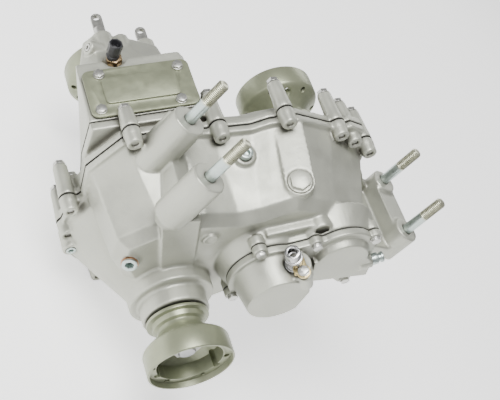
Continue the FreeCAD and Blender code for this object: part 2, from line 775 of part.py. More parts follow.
TAIL_AT_STEP = [
    (-126, 84), (-114, 108), (-60, 130), (-28, 134), (-10, 122), (4, 98), (14, 60), (44, 14),
    (40, -28), (0, -50), (-38, -38), (-60, 0),
]
TAIL_AT_END = [
    (-106, 84), (-102, 98), (-66, 112), (-20, 117), (-8, 110), (-4, 92), (8, 50), (36, 12),
    (32, -24), (0, -38), (-30, -30), (-48, 0),
]
TOWER_EARS = [(-92, -9), (-40, -66), (36, -58), (70, -8), (17, 97)]
COVER_EARS = [(30, 121), (89, 154), (156, 187), (184, 108), (112, 44), (56.5, 40.5)]
DOWELS = [(50, -86), (-111.7, 38.7)]


def inset(points, distance):
    """The outline moved inwards; the corners run anticlockwise or clockwise."""
    count = len(points)
    area = sum(points[k][0] * points[(k + 1) % count][1] - points[(k + 1) % count][0] * points[k][1]
               for k in range(count))
    side = 1.0 if area > 0 else -1.0
    moved = []
    for k in range(count):
        before, here, after = points[k - 1], points[k], points[(k + 1) % count]
        a = Vector(here[0] - before[0], here[1] - before[1], 0).normalize()
        b = Vector(after[0] - here[0], after[1] - here[1], 0).normalize()
        normal_a = Vector(-a.y, a.x, 0) * side
        normal_b = Vector(-b.y, b.x, 0) * side
        bisector = (normal_a + normal_b).normalize()
        reach = distance / max(0.35, bisector.dot(normal_a))
        moved.append((here[0] + bisector.x * reach, here[1] + bisector.y * reach))
    return moved


SPLIT = size("split_x")
HALF_GASKET = size("gasket") / 2
REAR_START = SPLIT + HALF_GASKET
FRONT_END = SPLIT - HALF_GASKET
REAR_FACE = size("rear_face_x")
WALL = size("wall")
FRONT_WALL = size("front_wall_x")
COVER_JOINT = size("cover_joint_x")
BELL_RADIUS = 101.0
LIP = 4.0
LIP_DEPTH = 9.0


def joint_blank(name, x, length):
    """The joint flange of the two casing halves, with the round end about the output axis."""
    items = [
        prism(name + "_plate", inset(CASE_AT_SPLIT, -LIP), x, length),
        cylinder(name + "_round", BELL_RADIUS + LIP, length, (x, 0, 0)),
        prism(name + "_lug", [(118, 208), (168, 200), (155, 234), (131, 234)], x, length),
    ]
    for k, (y, z, _) in enumerate(CASE_BOLTS):
        items.append(cylinder(f"{name}_boss_{k}", "dims.boss_radius", length, (x, y, z)))
    return fuse(name, items)


def joint_holes(name, x, length):
    holes = [cylinder(f"{name}_{k}", "dims.case_bolt + 0.1", length, (x, y, z))
             for k, (y, z, _) in enumerate(CASE_BOLTS)]
    for k, (y, z) in enumerate(DOWELS):
        holes.append(cylinder(f"{name}_dowel_{k}", "dims.dowel_radius", 16, (SPLIT - 8, y, z)))
    return holes


# ---------------------------------------------------------------- rear casing

def bell(name, inner):
    """The bell about the output axis, from the joint to the rear hub; inner is the wall to take off."""
    end = COVER_JOINT - (24 if inner else 4)
    return turned(name, [
        (REAR_START, 0),
        (REAR_START, BELL_RADIUS - inner),
        (SPLIT + 20, BELL_RADIUS - 4 - inner),
        (REAR_FACE - 2 - inner, 54 - inner),
        (end, 43 - inner / 2),
        (end, 0),
    ])


def cover_outline(name, x, length):
    """The rear cover's joint outline: two circles joined by a straight web, and its bolt ears."""
    along = Vector(*polar(1, size("angle_input")), 0)
    across = Vector(-along.y, along.x, 0)
    middle = [Vector(*INTERMEDIATE, 0), Vector(*INPUT, 0)]
    web = [middle[0] + across * 44, middle[1] + across * 40, middle[1] - across * 40, middle[0] - across * 44]
    items = [
        cylinder(name + "_m", 49, length, (x, *INTERMEDIATE)),
        cylinder(name + "_i", 44, length, (x, *INPUT)),
        prism(name + "_web", [(p.x, p.y) for p in web], x, length),
        prism(name + "_lug", [(146, 110), (181, 99), (192, 110), (176, 146)], x, length),
    ]
    for k, (y, z) in enumerate(COVER_EARS):
        items.append(cylinder(f"{name}_ear_{k}", 8.5, length, (x, y, z)))
    return fuse(name, items)


def stud_boss(name, x, y, low):
    return cylinder(name, "3 * dims.stud_radius", size("stud_seat") - low, (x, y, low), ALONG_Z)


STUD_X = (size("stud_x_front"), size("stud_x_rear"))
STUD_Y = (size("stud_y_left"), size("stud_y_right"))

LEVEL_PORT = (-128, -71, 33)
LEVEL_AXIS = Vector(0.94, -0.34, 0).normalize()
LEVEL_FACE = Vector(*LEVEL_PORT) + LEVEL_AXIS * 26
DRAIN_PORT = (-78, -57)
FILLER_NORMAL = Vector(0.168, -0.637, 0.752).normalize()
FILLER_ALONG = Vector(0.977, 0.017, -0.204)
FILLER_AT = (-130, 49, 192.5)
VENT_NORMAL = Vector(0.2, -0.42, 0.885).normalize()
VENT_AT = (-176, 6, 164)

body_items = [
    loft("rear_outer", CASE_AT_SPLIT, REAR_START, CASE_AT_REAR, REAR_FACE - 6),
    loft("rear_shoulder", CASE_AT_REAR, REAR_FACE - 6, inset(CASE_AT_REAR, 12), REAR_FACE + 5),
    joint_blank("rear_joint", REAR_START, LIP_DEPTH),
    bell("rear_bell", 0),
    cone("rear_hub", 50, 40.5, 20, (-106, 0, 0)),
    cylinder("rear_hub_end", 39.5, "-dims.cover_joint_x - dims.flange_reach + 4", (-90, 0, 0)),
    cover_outline("cover_pad", COVER_JOINT - 12, 12),
    cone("cluster_bell", 62, 49, 30, (COVER_JOINT - 30, *INTERMEDIATE)),
    cone("input_bell", 54, 44, 28, (COVER_JOINT - 28, *INPUT)),
]
port_items = [
    cylinder("level_boss", 11, 26, LEVEL_PORT, LEVEL_AXIS),
    cylinder("drain_boss", 10, 30, (REAR_START, *DRAIN_PORT)),
    cylinder("cast_circle", 9, 14, (-114, -17, 99)),
    prism("name_pad", [(-93, 108), (-52, 126), (2, 44), (-30, 24)], -112, 10),
    cylinder("blind_boss", 13, 28, (-118, 94, 164)),
    prism("blind_rib", [(88, 172), (92, 158), (42, 126), (36, 133)], -114, 20),
    stud_boss("boss_rear_left", STUD_X[1], STUD_Y[0], 112),
    cone("boss_rear_left_foot", 9, 19.5, 14, (STUD_X[1], STUD_Y[0], 98), ALONG_Z),
    stud_boss("boss_front_left", STUD_X[0] + 1, STUD_Y[0], 104),
    box("boss_front_left_flat", (38, 26, 62),
        Placement(Vector(REAR_START, STUD_Y[0] - 12, 106), Rotation())),
    box("boss_web_left", (96, 22, 34), Placement(Vector(REAR_START, -78, 100), Rotation())),
    cylinder("vent_boss", 13, 20, Vector(*VENT_AT) - VENT_NORMAL * 16, VENT_NORMAL),
]
for k, (y, z, _) in enumerate(CASE_BOLTS):
    port_items.append(cone(f"rear_boss_{k}", "dims.boss_radius", 9, 21, (REAR_START, y, z)))

filler_turn = Rotation(FILLER_ALONG, Vector(0, 1, 0), FILLER_NORMAL, "ZXY")
port_items.append(box("filler_pad", (72, 34, 16), Placement(
    Vector(*FILLER_AT) - filler_turn.multVec(Vector(72, 17, 16)), filler_turn)))
port_items.append(cylinder("filler_boss", 17, 16, Vector(*FILLER_AT) - FILLER_NORMAL * 16, FILLER_NORMAL))

# the right-hand bracket that carries two of the mounting studs
bracket_items = [
    box("bracket_bar", (STUD_X[1] - STUD_X[0], 32, 30),
        Placement(Vector(STUD_X[0], STUD_Y[1] - 16, 146), Rotation())),
    cylinder("bracket_front", 17, 44, (STUD_X[0] + 2, STUD_Y[1], 136), ALONG_Z),
    cylinder("bracket_rear", 17, 44, (STUD_X[1], STUD_Y[1], 136), ALONG_Z),
    prism("bracket_web", [(196, 184), (196, 126), (236, 138), (236, 158), (216, 168)], -206, 20),
    prism("bracket_plate", [(184, 152), (184, 124), (234, 140), (234, 154)], -190, 92),
]

inner_items = [
    loft("rear_inner", inset(CASE_AT_SPLIT, WALL), REAR_START - 0.1, inset(CASE_AT_REAR, WALL - 1),
         REAR_FACE - 8),
    bell("rear_bell_inner", WALL),
]
seat_items = [
    cylinder("carrier_seat", 50, 44, at("dims.carrier_centre + 44", OUTPUT)),
    cylinder("cluster_seat", 46, 12, at("dims.rear_face_x - 8", INTERMEDIATE)),
    cylinder("input_seat", 38, 12, at("dims.rear_face_x - 8", INPUT)),
]
rear_bores = [
    cylinder("rear_seal_bore", "dims.bearing_outer", 40, at("dims.rear_mouth - 95", OUTPUT)),
    cylinder("rear_shaft_bore", 26, 60, at("dims.rear_mouth - 130", OUTPUT)),
    cylinder("rear_carrier_bore", "dims.carrier_bearing", 30, at("dims.carrier_centre + 32", OUTPUT)),
    cylinder("cluster_bore", 36, 30, at("dims.cover_joint_x - 18", INTERMEDIATE)),
    cylinder("cluster_shaft_bore", 30, 40, at("dims.cover_joint_x - 40", INTERMEDIATE)),
    cylinder("input_bore", 26, 30, at("dims.cover_joint_x - 18", INPUT)),
    cylinder("input_shaft_bore", 20, 40, at("dims.cover_joint_x - 40", INPUT)),
    cylinder("level_bore", 7, 40, Vector(*LEVEL_PORT) - LEVEL_AXIS * 8, LEVEL_AXIS),
    cylinder("level_spot_face", 12, 14, LEVEL_FACE, LEVEL_AXIS),
    cylinder("drain_bore", 6, 40, (SPLIT + 12, *DRAIN_PORT)),
    cylinder("filler_recess", 15, 8, Vector(*FILLER_AT) - FILLER_NORMAL * 2, FILLER_NORMAL),
    cylinder("cast_circle_recess", 6.5, 3, (-101.5, -17, 99)),
    cylinder("blind_boss_recess", 9.5, 3, (-91.5, 94, 164)),
    cylinder("filler_bore", 11, 30, Vector(*FILLER_AT) - FILLER_NORMAL * 18, FILLER_NORMAL),
    cylinder("vent_bore", 8, 22, Vector(*VENT_AT) - VENT_NORMAL * 8, VENT_NORMAL),
]
for k, x in enumerate(STUD_X):
    for side, y in enumerate(STUD_Y):
        rear_bores.append(cylinder(f"stud_hole_{k}{side}", "dims.stud_radius - 0.3", 30,
                                   (x, y, size("stud_seat") - 28), ALONG_Z))
for k, (y, z) in enumerate(COVER_EARS):
    rear_bores.append(cylinder(f"cover_hole_{k}", "dims.small_bolt", 20, (COVER_JOINT - 16, y, z)))

rear_shell = cut("rear_shell", fuse("rear_body", body_items), inner_items)
rear_solid = fuse("rear_solid", [rear_shell] + seat_items + port_items + bracket_items, refine=False)
rear_bores += joint_holes("rear_joint_hole", REAR_START - 1, 30)
node("rear_case", cut("rear_machined", rear_solid, rear_bores))


# ---------------------------------------------------------------- front casing

front_outer = [
    loft("front_outer", CASE_AT_FRONT, FRONT_WALL, CASE_AT_SPLIT, FRONT_END),
    joint_blank("front_joint", FRONT_END - LIP_DEPTH, LIP_DEPTH),
    cone("front_round", 102, BELL_RADIUS, FRONT_END - FRONT_WALL, (FRONT_WALL, 0, 0)),
    cone("input_hub_cone", 46, 72, 34, (-252, *INPUT)),
    cone("input_hub", 40, 46, 14, (size("input_mouth") + size("flange_reach"), *INPUT)),
    cylinder("cluster_cap", 44, 20, (FRONT_WALL - 9, *INTERMEDIATE)),
    prism("tower_pad", TOWER_AT_WALL, FRONT_WALL, 11),
]
for k, (y, z) in enumerate(TOWER_EARS):
    front_outer.append(cylinder(f"tower_pad_ear_{k}", 9, 11, (FRONT_WALL, y, z)))
for k, (y, z, reach) in enumerate(CASE_BOLTS):
    front_outer.append(cone(f"front_boss_{k}", 8.5, "dims.boss_radius", reach, (FRONT_END - reach, y, z)))
front_inner = [
    loft("front_inner", inset(CASE_AT_FRONT, WALL), FRONT_WALL + 8,
         inset(CASE_AT_SPLIT, WALL), FRONT_END + 0.1),
    cylinder("front_round_inner", 100, 22, (FRONT_WALL + 8, 0, 0)),
    cone("input_hub_inner", 38, 64, 24, (-236, *INPUT)),
]
front_seats = [
    cylinder("front_carrier_seat", 50, 19, (FRONT_WALL, 0, 0)),
    cylinder("front_cluster_seat", 46, 18, (FRONT_WALL, *INTERMEDIATE)),
    cylinder("front_input_seat", 39, 34, (-262, *INPUT)),
]
front_bores = [
    cylinder("front_carrier_bore", "dims.carrier_bearing", 40, (FRONT_WALL - 10, 0, 0)),
    cylinder("front_cluster_bore", 36, 40, at("dims.front_wall_x - 1", INTERMEDIATE)),
    cylinder("front_input_bore", "dims.bearing_outer", 60, at("dims.input_mouth + 60", INPUT)),
    cylinder("front_range_rod_hole", "dims.rod_radius + dims.running_gap", 20, (FRONT_WALL - 4, *RANGE_ROD)),
    cylinder("front_lock_rod_hole", "dims.rod_radius + dims.running_gap", 20, (FRONT_WALL - 4, *LOCK_ROD)),
]
for k, (y, z) in enumerate(TOWER_EARS):
    front_bores.append(cylinder(f"tower_hole_{k}", "dims.case_bolt", 14, (FRONT_WALL - 1, y, z)))
front_shell = cut("front_shell", fuse("front_solid", front_outer), front_inner)
node("front_case", cut("front_machined", fuse("front_with_seats", [front_shell] + front_seats),
                       front_bores + joint_holes("front_joint_hole", -262, 60)))


# ---------------------------------------------------------------- front drive housing

TOWER_START = FRONT_WALL - size("gasket")
STEP = -322.0
TAIL_END = -378.0
HUB_END = size("front_mouth") + size("flange_reach")
COVER_ANGLE = 33.7
COVER_CORNER = Vector(-239, -135.8, 96.5)
cover_turn = Rotation(ALONG_X, COVER_ANGLE)


def cover_point(along, across, up):
    """A point on the sloping shift cover: along its long side, towards -X, and off its face."""
    return COVER_CORNER + cover_turn.multVec(Vector(-across, along, up))


COVER_NORMAL = cover_turn.multVec(ALONG_Z)
COVER_LENGTH = 122.0
DETENT_X = -352.0
DETENT_REACH = 28.0
DETENTS = [(LOCK_ROD, ALONG_Y * -1), (RANGE_ROD, ALONG_Y)]
COVER_WIDTH = 67.0
SHIFT_COVER_BOLTS = [(11, 9), (101, 8), (19, 59), (109, 57)]
SWITCH_AT = Vector(-325, -84.6, 96.5)
SWITCH_NORMAL = COVER_NORMAL

tower_items = [
    loft("tower_outer", TOWER_AT_STEP, STEP, TOWER_AT_WALL, TOWER_START),
    loft("tail_outer", TAIL_AT_END, TAIL_END, TAIL_AT_STEP, STEP),
    cone("front_hub_cone", 44, 60, 60, (-346, 0, 0)),
    cylinder("front_hub", 39.5, 48, (HUB_END, 0, 0)),
    cylinder("lock_rod_boss", 12, 66, (TAIL_END - 2, *LOCK_ROD)),
    cylinder("range_rod_boss", 12, 54, (-395, *RANGE_ROD)),
    cylinder("interlock_boss", 10, 34, (TAIL_END, -68, 107)),
    cylinder("switch_boss", 12.5, 15, SWITCH_AT + SWITCH_NORMAL * 5, SWITCH_NORMAL),
]
for k, (y, z) in enumerate(TOWER_EARS):
    tower_items.append(cylinder(f"tower_ear_{k}", 9, 10, (TOWER_START - 10, y, z)))
tower_inner = [
    loft("tower_inner", inset(TOWER_AT_STEP, WALL), STEP + WALL,
         inset(TOWER_AT_WALL, WALL), TOWER_START + 0.1),
    loft("tail_inner", inset(TAIL_AT_END, WALL), TAIL_END + WALL, inset(TAIL_AT_STEP, WALL), STEP + WALL + 1),
]
tower_seats = [cylinder("front_seal_seat", 39.5, 40, (HUB_END, 0, 0))]
for k, (rod, outwards) in enumerate(DETENTS):
    tower_seats.append(cylinder(f"detent_boss_{k}", 9, DETENT_REACH, (DETENT_X, *rod), outwards))
tower_bores = [
    cylinder("front_seal_bore", "dims.bearing_outer", 32, (HUB_END - 2, 0, 0)),
    cylinder("front_shaft_bore", 24, 30, (HUB_END + 20, 0, 0)),
    cylinder("lock_rod_bore", "dims.rod_radius + dims.running_gap", 96, (-400, *LOCK_ROD)),
    cylinder("range_rod_bore", "dims.rod_radius + dims.running_gap", 66, (-400, *RANGE_ROD)),
    cylinder("switch_bore", 6, 30, SWITCH_AT + SWITCH_NORMAL * 8, SWITCH_NORMAL),
    cylinder("switch_face", 13, 20, SWITCH_AT + SWITCH_NORMAL * 20, SWITCH_NORMAL),
    cylinder("lock_rod_seal_seat", 10, 3, (TAIL_END - 2, *LOCK_ROD)),
    cylinder("range_rod_seal_seat", 10, 3, (-395, *RANGE_ROD)),
    box("tower_window", (COVER_WIDTH - 26, COVER_LENGTH - 30, 40),
        Placement(cover_point(15, COVER_WIDTH - 13, -30), cover_turn)),
]
for k, (along, across) in enumerate(SHIFT_COVER_BOLTS):
    tower_bores.append(cylinder(f"shift_cover_hole_{k}", "dims.small_bolt", 14,
                                cover_point(along, across, -12), COVER_NORMAL))
for k, (y, z) in enumerate(TOWER_EARS):
    tower_bores.append(cylinder(f"tower_ear_hole_{k}", "dims.case_bolt + 0.1", 14, (TOWER_START - 12, y, z)))
    tower_bores.append(cylinder(f"tower_ear_face_{k}", 9, 14, (TOWER_START - 24, y, z)))
for k, (rod, outwards) in enumerate(DETENTS):
    tower_bores.append(cylinder(f"detent_bore_{k}", 4.6, DETENT_REACH, (DETENT_X, *rod), outwards))
tower_shell = cut("tower_shell", fuse("tower_solid", tower_items), tower_inner)
node("front_drive_housing", cut("tower_machined", fuse("tower_with_seats", [tower_shell] + tower_seats),
                                tower_bores))


# ---------------------------------------------------------------- rear cover and speedometer drive

COVER_START = COVER_JOINT + size("gasket")
COVER_FLANGE = 9.0
CAP_END = -42.0
SPEEDO_OUT = Vector(0, *polar(1, size("angle_intermediate") + 90))
SPEEDO_UP = Vector(0, *polar(1, size("angle_intermediate")))
SPEEDO_CENTRE = Vector(-62, *INTERMEDIATE) + SPEEDO_UP * (size("worm_radius") + size("speedo_radius") + 0.3)


def along_speedo(distance, x_shift=0.0, up=0.0):
    """A point on the speedometer pinion's axis, counted outwards from beside the worm."""
    return SPEEDO_CENTRE + SPEEDO_OUT * distance + Vector(x_shift, 0, 0) + SPEEDO_UP * up


CLAMP_BOLT = (15.0, 5.5)
VALVE_AT = (-74, 171, 143)
VALVE_AXIS = Vector(0, 0.753, 0.658).normalize()

dome_turn = Rotation(ALONG_X, 15)
cover_solid = fuse("cover_solid", [
    cover_outline("cover_flange", COVER_START, COVER_FLANGE),
    cone("cluster_dome", 45, 37, CAP_END - COVER_START, (COVER_START, *INTERMEDIATE)),
    cone("input_dome", 38, 32, 18, (COVER_START, *INPUT)),
    prism("cover_wedge", [(124, 100), (101, 134), (127, 155), (150, 168), (179, 157), (194, 132)],
          COVER_START, 18),
    cylinder("speedo_boss", 18, 42, along_speedo(-11), SPEEDO_OUT),
    cylinder("clamp_boss", 8, 24, along_speedo(7, *CLAMP_BOLT), SPEEDO_OUT),
    cylinder("valve_boss", 9, 16, VALVE_AT, VALVE_AXIS),
])
cover_cavity = [
    cone("cluster_dome_inner", 38, 31, CAP_END - 4.5 - COVER_START, (COVER_START, *INTERMEDIATE)),
    cylinder("cluster_dome_mouth", 38, 2, (COVER_START - 1, *INTERMEDIATE)),
    cylinder("input_dome_inner", 26, 14, (COVER_START - 1, *INPUT)),
    cylinder("speedo_cavity", 14.5, 24, along_speedo(-8), SPEEDO_OUT),
    cylinder("speedo_bore", 9, 40, along_speedo(0), SPEEDO_OUT),
    cylinder("speedo_face", 12.5, 20, along_speedo(31), SPEEDO_OUT),
    cylinder("clamp_hole", "dims.small_bolt", 14, along_speedo(19, *CLAMP_BOLT), SPEEDO_OUT),
    cylinder("valve_hole", 5, 14, Vector(*VALVE_AT) + VALVE_AXIS * 6, VALVE_AXIS),
    box("dome_flat", (30, 40, 90), Placement(
        Vector(-61, *INTERMEDIATE) + dome_turn.multVec(Vector(0, 33, -45)), dome_turn)),
]
for k, (y, z) in enumerate(COVER_EARS):
    cover_cavity.append(cylinder(f"cover_ear_hole_{k}", "dims.small_bolt + 0.1", 12, (COVER_START - 1, y, z)))
node("rear_cover", cut("cover_cut", cover_solid, cover_cavity))

node("speedo_pinion", fuse("speedo_pinion_solid", [
    cylinder("speedo_pinion_teeth", "dims.speedo_radius", 12, along_speedo(-6), SPEEDO_OUT),
    cylinder("speedo_pinion_shaft", 4, 36, along_speedo(6), SPEEDO_OUT),
]))
node("speedo_adaptor", cut("speedo_adaptor_cut", fuse("speedo_adaptor_solid", [
    cylinder("adaptor_sleeve", 9, 16, along_speedo(15), SPEEDO_OUT),
    cylinder("adaptor_collar", 11.5, 5, along_speedo(31), SPEEDO_OUT),
    cylinder("adaptor_neck", 9, 12, along_speedo(36), SPEEDO_OUT),
    cylinder("adaptor_rim", 10.2, 3, along_speedo(48), SPEEDO_OUT),
    cylinder("adaptor_thread", 8.6, 11, along_speedo(51), SPEEDO_OUT),
]), [
    cylinder("adaptor_bore", "4 + dims.running_gap", 40, along_speedo(14), SPEEDO_OUT),
    cylinder("adaptor_mouth", 5.2, 12, along_speedo(52), SPEEDO_OUT),
]))
clamp_turn = Rotation(ALONG_X, SPEEDO_UP, SPEEDO_OUT, "ZXY")
node("speedo_clamp_plate", cut("clamp_plate_cut", fuse("clamp_plate_solid", [
    cylinder("clamp_plate_end", 8, 3, along_speedo(36, *CLAMP_BOLT), SPEEDO_OUT),
    box("clamp_plate_bar", (22, 16, 3), Placement(along_speedo(36, -6, -5), clamp_turn)),
]), [
    cylinder("clamp_plate_slot", 9.2, 4, along_speedo(35.5), SPEEDO_OUT),
    cylinder("clamp_plate_hole", "dims.small_bolt + 0.2", 4, along_speedo(35.5, *CLAMP_BOLT), SPEEDO_OUT),
]))


# ---------------------------------------------------------------- shift cover and gaskets

PLATE = 3.0
plate_holes = [
    cylinder(f"shift_cover_bolt_hole_{k}", "dims.small_bolt + 0.2", 8, cover_point(along, across, -1),
             COVER_NORMAL)
    for k, (along, across) in enumerate(SHIFT_COVER_BOLTS)
]
node("shift_cover", cut("shift_cover_cut", fuse("shift_cover_solid", [
    rounded_box("shift_cover_plate", (COVER_WIDTH, COVER_LENGTH, PLATE),
                Placement(cover_point(0, COVER_WIDTH, size("gasket")), cover_turn), 9),
    rounded_box("shift_cover_panel", (COVER_WIDTH - 30, COVER_LENGTH - 38, 2.5),
                Placement(cover_point(19, COVER_WIDTH - 15, size("gasket") + PLATE), cover_turn), 5),
]), plate_holes))


split_openings = [
    prism("split_gasket_inner", inset(CASE_AT_SPLIT, WALL), FRONT_END - 1, 3),
    cylinder("split_gasket_round", BELL_RADIUS - WALL, 3, (FRONT_END - 1, 0, 0)),
] + joint_holes("split_gasket_hole", FRONT_END - 1, 3)
tower_openings = [prism("tower_gasket_inner", inset(TOWER_AT_WALL, WALL), TOWER_START - 1, 3)]
for k, (y, z) in enumerate(TOWER_EARS):
    tower_openings.append(cylinder(f"tower_gasket_hole_{k}", "dims.case_bolt + 0.1", 3,
                                   (TOWER_START - 1, y, z)))
tower_sheet = fuse("tower_gasket_sheet", [
    prism("tower_gasket_outline", TOWER_AT_WALL, TOWER_START, "dims.gasket"),
] + [
    cylinder(f"tower_gasket_ear_{k}", 9, "dims.gasket", (TOWER_START, y, z))
    for k, (y, z) in enumerate(TOWER_EARS)
])
cover_openings = [
    cylinder("cover_gasket_m", 38, 3, (COVER_JOINT - 1, *INTERMEDIATE)),
    cylinder("cover_gasket_i", 28, 3, (COVER_JOINT - 1, *INPUT)),
]
for k, (y, z) in enumerate(COVER_EARS):
    cover_openings.append(cylinder(f"cover_gasket_hole_{k}", "dims.small_bolt + 0.1", 3,
                                   (COVER_JOINT - 1, y, z)))
plate_openings = [box("plate_gasket_window", (COVER_WIDTH - 26, COVER_LENGTH - 30, 3),
                      Placement(cover_point(15, COVER_WIDTH - 13, -1), cover_turn))]
for k, (along, across) in enumerate(SHIFT_COVER_BOLTS):
    plate_openings.append(cylinder(f"plate_gasket_hole_{k}", "dims.small_bolt + 0.1", 3,
                                   cover_point(along, across, -1), COVER_NORMAL))
plate_sheet = rounded_box("plate_gasket_sheet", (COVER_WIDTH, COVER_LENGTH, size("gasket")),
                          Placement(cover_point(0, COVER_WIDTH, 0), cover_turn), 9)
node("gaskets", group("gasket_group", [
    cut("split_gasket", joint_blank("split_gasket_sheet", FRONT_END, "dims.gasket"), split_openings),
    cut("tower_gasket", tower_sheet, tower_openings),
    cut("cover_gasket", cover_outline("cover_gasket_sheet", COVER_JOINT, "dims.gasket"), cover_openings),
    cut("plate_gasket", plate_sheet, plate_openings),
]))


# ---------------------------------------------------------------- shift rods and forks

EYE_LENGTH = 17.0
EYE_HALF = 3.0
EYE_TURN = Rotation(ALONG_X, COVER_ANGLE + 6)
SLOT_FLOOR = size("rod_radius") - 2.4


def shift_rod(name, eye_x, end_x, yz, outwards):
    """A rod with a flattened eye at its front end and the long slot that its detent ball stands over."""
    eye_axis = EYE_TURN.multVec(ALONG_Z)
    centre = Vector(eye_x, *yz)
    solid = fuse(name + "_solid", [
        cylinder(name + "_bar", "dims.rod_radius", end_x - eye_x, centre),
        cylinder(name + "_round", 6.5, 2 * EYE_HALF, centre - eye_axis * EYE_HALF, eye_axis),
    ])
    flats = [box(f"{name}_flat_{side}", (EYE_LENGTH, 20, 10), Placement(
        centre + EYE_TURN.multVec(Vector(0, -10, side * (EYE_HALF + 5) - 5)), EYE_TURN)) for side in (-1, 1)]
    slot = box(name + "_slot", (26, 6, 8), Placement(
        Vector(DETENT_X - 19, yz[0] + outwards.y * (SLOT_FLOOR + 3) - 3, yz[1] - 4), Rotation()))
    hole = cylinder(name + "_hole", 4.2, 12, centre - eye_axis * 6, eye_axis)
    return cut(name, solid, [hole, slot] + flats)


node("lock_rod", shift_rod("lock_rod_cut", -409, -232, *DETENTS[0]))
node("range_rod", shift_rod("range_rod_cut", -415, -146, *DETENTS[1]))


def fork(name, x, rod, axis, hub_start, hub_length):
    """A shift fork 7 mm thick: a clamped hub on its rod, an arm, and a half ring in the sleeve's groove."""
    thick = 7.0
    towards = Vector(rod[0] - axis[0], rod[1] - axis[1], 0).normalize()
    across = Vector(-towards.y, towards.x, 0)
    centre = Vector(axis[0], axis[1], 0)
    rod_point = Vector(rod[0], rod[1], 0)
    arm = [centre + towards * 38 + across * 9, rod_point + across * 8, rod_point - across * 8,
           centre + towards * 38 - across * 9]
    far = centre - towards * 60
    away = [centre - towards * 4 + across * 60, far + across * 60, far - across * 60,
            centre - towards * 4 - across * 60]
    solid = fuse(name + "_solid", [
        cylinder(name + "_ring", 43, thick, (x - thick / 2, *axis)),
        prism(name + "_arm", [(p.x, p.y) for p in arm], x - thick / 2, thick),
        cylinder(name + "_hub", 12.5, hub_length, (hub_start, *rod)),
    ])
    return cut(name, solid, [
        cylinder(name + "_mouth", 32, 20, (x - 10, *axis)),
        prism(name + "_open", [(p.x, p.y) for p in away], x - 10, 20),
        cylinder(name + "_bore", "dims.rod_radius", 60, (hub_start - 10, *rod)),
    ])


node("lock_fork", fork("lock_fork_cut", -264.0, LOCK_ROD, OUTPUT, -278, 24))
node("range_fork", fork("range_fork_cut", -160.0, RANGE_ROD, INPUT, -174, 24))
node("rod_seals", group("rod_seal_group", [
    ring("lock_rod_seal", "dims.rod_radius + 0.05", 10, -380, 3, LOCK_ROD),
    ring("range_rod_seal", "dims.rod_radius + 0.05", 10, -395, 3, RANGE_ROD),
]))


# ---------------------------------------------------------------- detents

BALL = 4.0
BALL_OUT = SLOT_FLOOR + BALL + 0.7
SCREW_LENGTH = 8.0
balls = []
springs = []
detent_screws = []
for k, (rod, outwards) in enumerate(DETENTS):
    centre = Vector(DETENT_X, *rod)
    balls.append(doc.addObject("Part::Sphere", f"detent_ball_{k}"))
    balls[-1].Radius = BALL
    balls[-1].Placement = Placement(centre + outwards * BALL_OUT, Rotation())
    spring_start = BALL_OUT + BALL
    spring_length = DETENT_REACH - SCREW_LENGTH - spring_start
    springs.append(ring(f"detent_spring_{k}", 2.4, 3.6, 0, spring_length, (0, 0)))
    springs[-1].Placement = Placement(centre + outwards * spring_start, Rotation(ALONG_X, outwards))
    screw_start = centre + outwards * (DETENT_REACH - SCREW_LENGTH)
    screw_body = cylinder(f"detent_screw_body_{k}", 4.6, SCREW_LENGTH, screw_start, outwards)
    socket = hexagon(f"detent_screw_socket_{k}", 2.6, 5, centre + outwards * (DETENT_REACH - 4), outwards)
    detent_screws.append(cut(f"detent_screw_{k}", screw_body, [socket]))
node("detent_balls", group("detent_ball_group", balls))
node("detent_springs", group("detent_spring_group", springs))
node("detent_plugs", group("detent_plug_group", detent_screws))


# ---------------------------------------------------------------- fasteners, plugs and the lock switch

def hex_bolt(name, radius, head_radius, head, length, start, direction=ALONG_X):
    """A bolt whose head's underside is at start; the shank points along direction."""
    start = Vector(*start)
    direction = Vector(direction)
    head_start = start - direction * head
    return fuse(name, [
        hexagon(name + "_head", head_radius - 0.4, head, head_start, direction),
        cylinder(name + "_washer_face", head_radius, 1.2, start - direction * 1.2, direction),
        cylinder(name + "_shank", radius, length, start, direction),
    ])


node("case_bolts", group("case_bolt_group", [
    hex_bolt(f"case_bolt_{k}", "dims.case_bolt", 7.6, 5.5, reach + 19, (FRONT_END - reach, y, z))
    for k, (y, z, reach) in enumerate(CASE_BOLTS)]))
node("front_housing_bolts", group("front_housing_bolt_group", [
    hex_bolt(f"front_housing_bolt_{k}", "dims.case_bolt", 7.6, 5.5, 20, (TOWER_START - 10, y, z))
    for k, (y, z) in enumerate(TOWER_EARS)]))
node("rear_cover_bolts", group("rear_cover_bolt_group", [
    hex_bolt(f"rear_cover_bolt_{k}", "dims.small_bolt", 6.4, 4.2, 22, (COVER_START + COVER_FLANGE, y, z),
             ALONG_X * -1)
    for k, (y, z) in enumerate(COVER_EARS)]))
node("shift_cover_bolts", group("shift_cover_bolt_group", [
    hex_bolt(f"shift_cover_bolt_{k}", "dims.small_bolt", 6.4, 4.2, 14,
             cover_point(along, across, size("gasket") + PLATE), COVER_NORMAL * -1)
    for k, (along, across) in enumerate(SHIFT_COVER_BOLTS)]))
node("speedo_clamp_bolt", hex_bolt("speedo_clamp_bolt_solid", "dims.small_bolt", 6.4, 4.2, 17,
                                   along_speedo(39, *CLAMP_BOLT), SPEEDO_OUT * -1))
node("dowels", group("dowel_group", [cylinder(f"dowel_{k}", "dims.dowel_radius", 14, (SPLIT - 7, y, z))
                                     for k, (y, z) in enumerate(DOWELS)]))

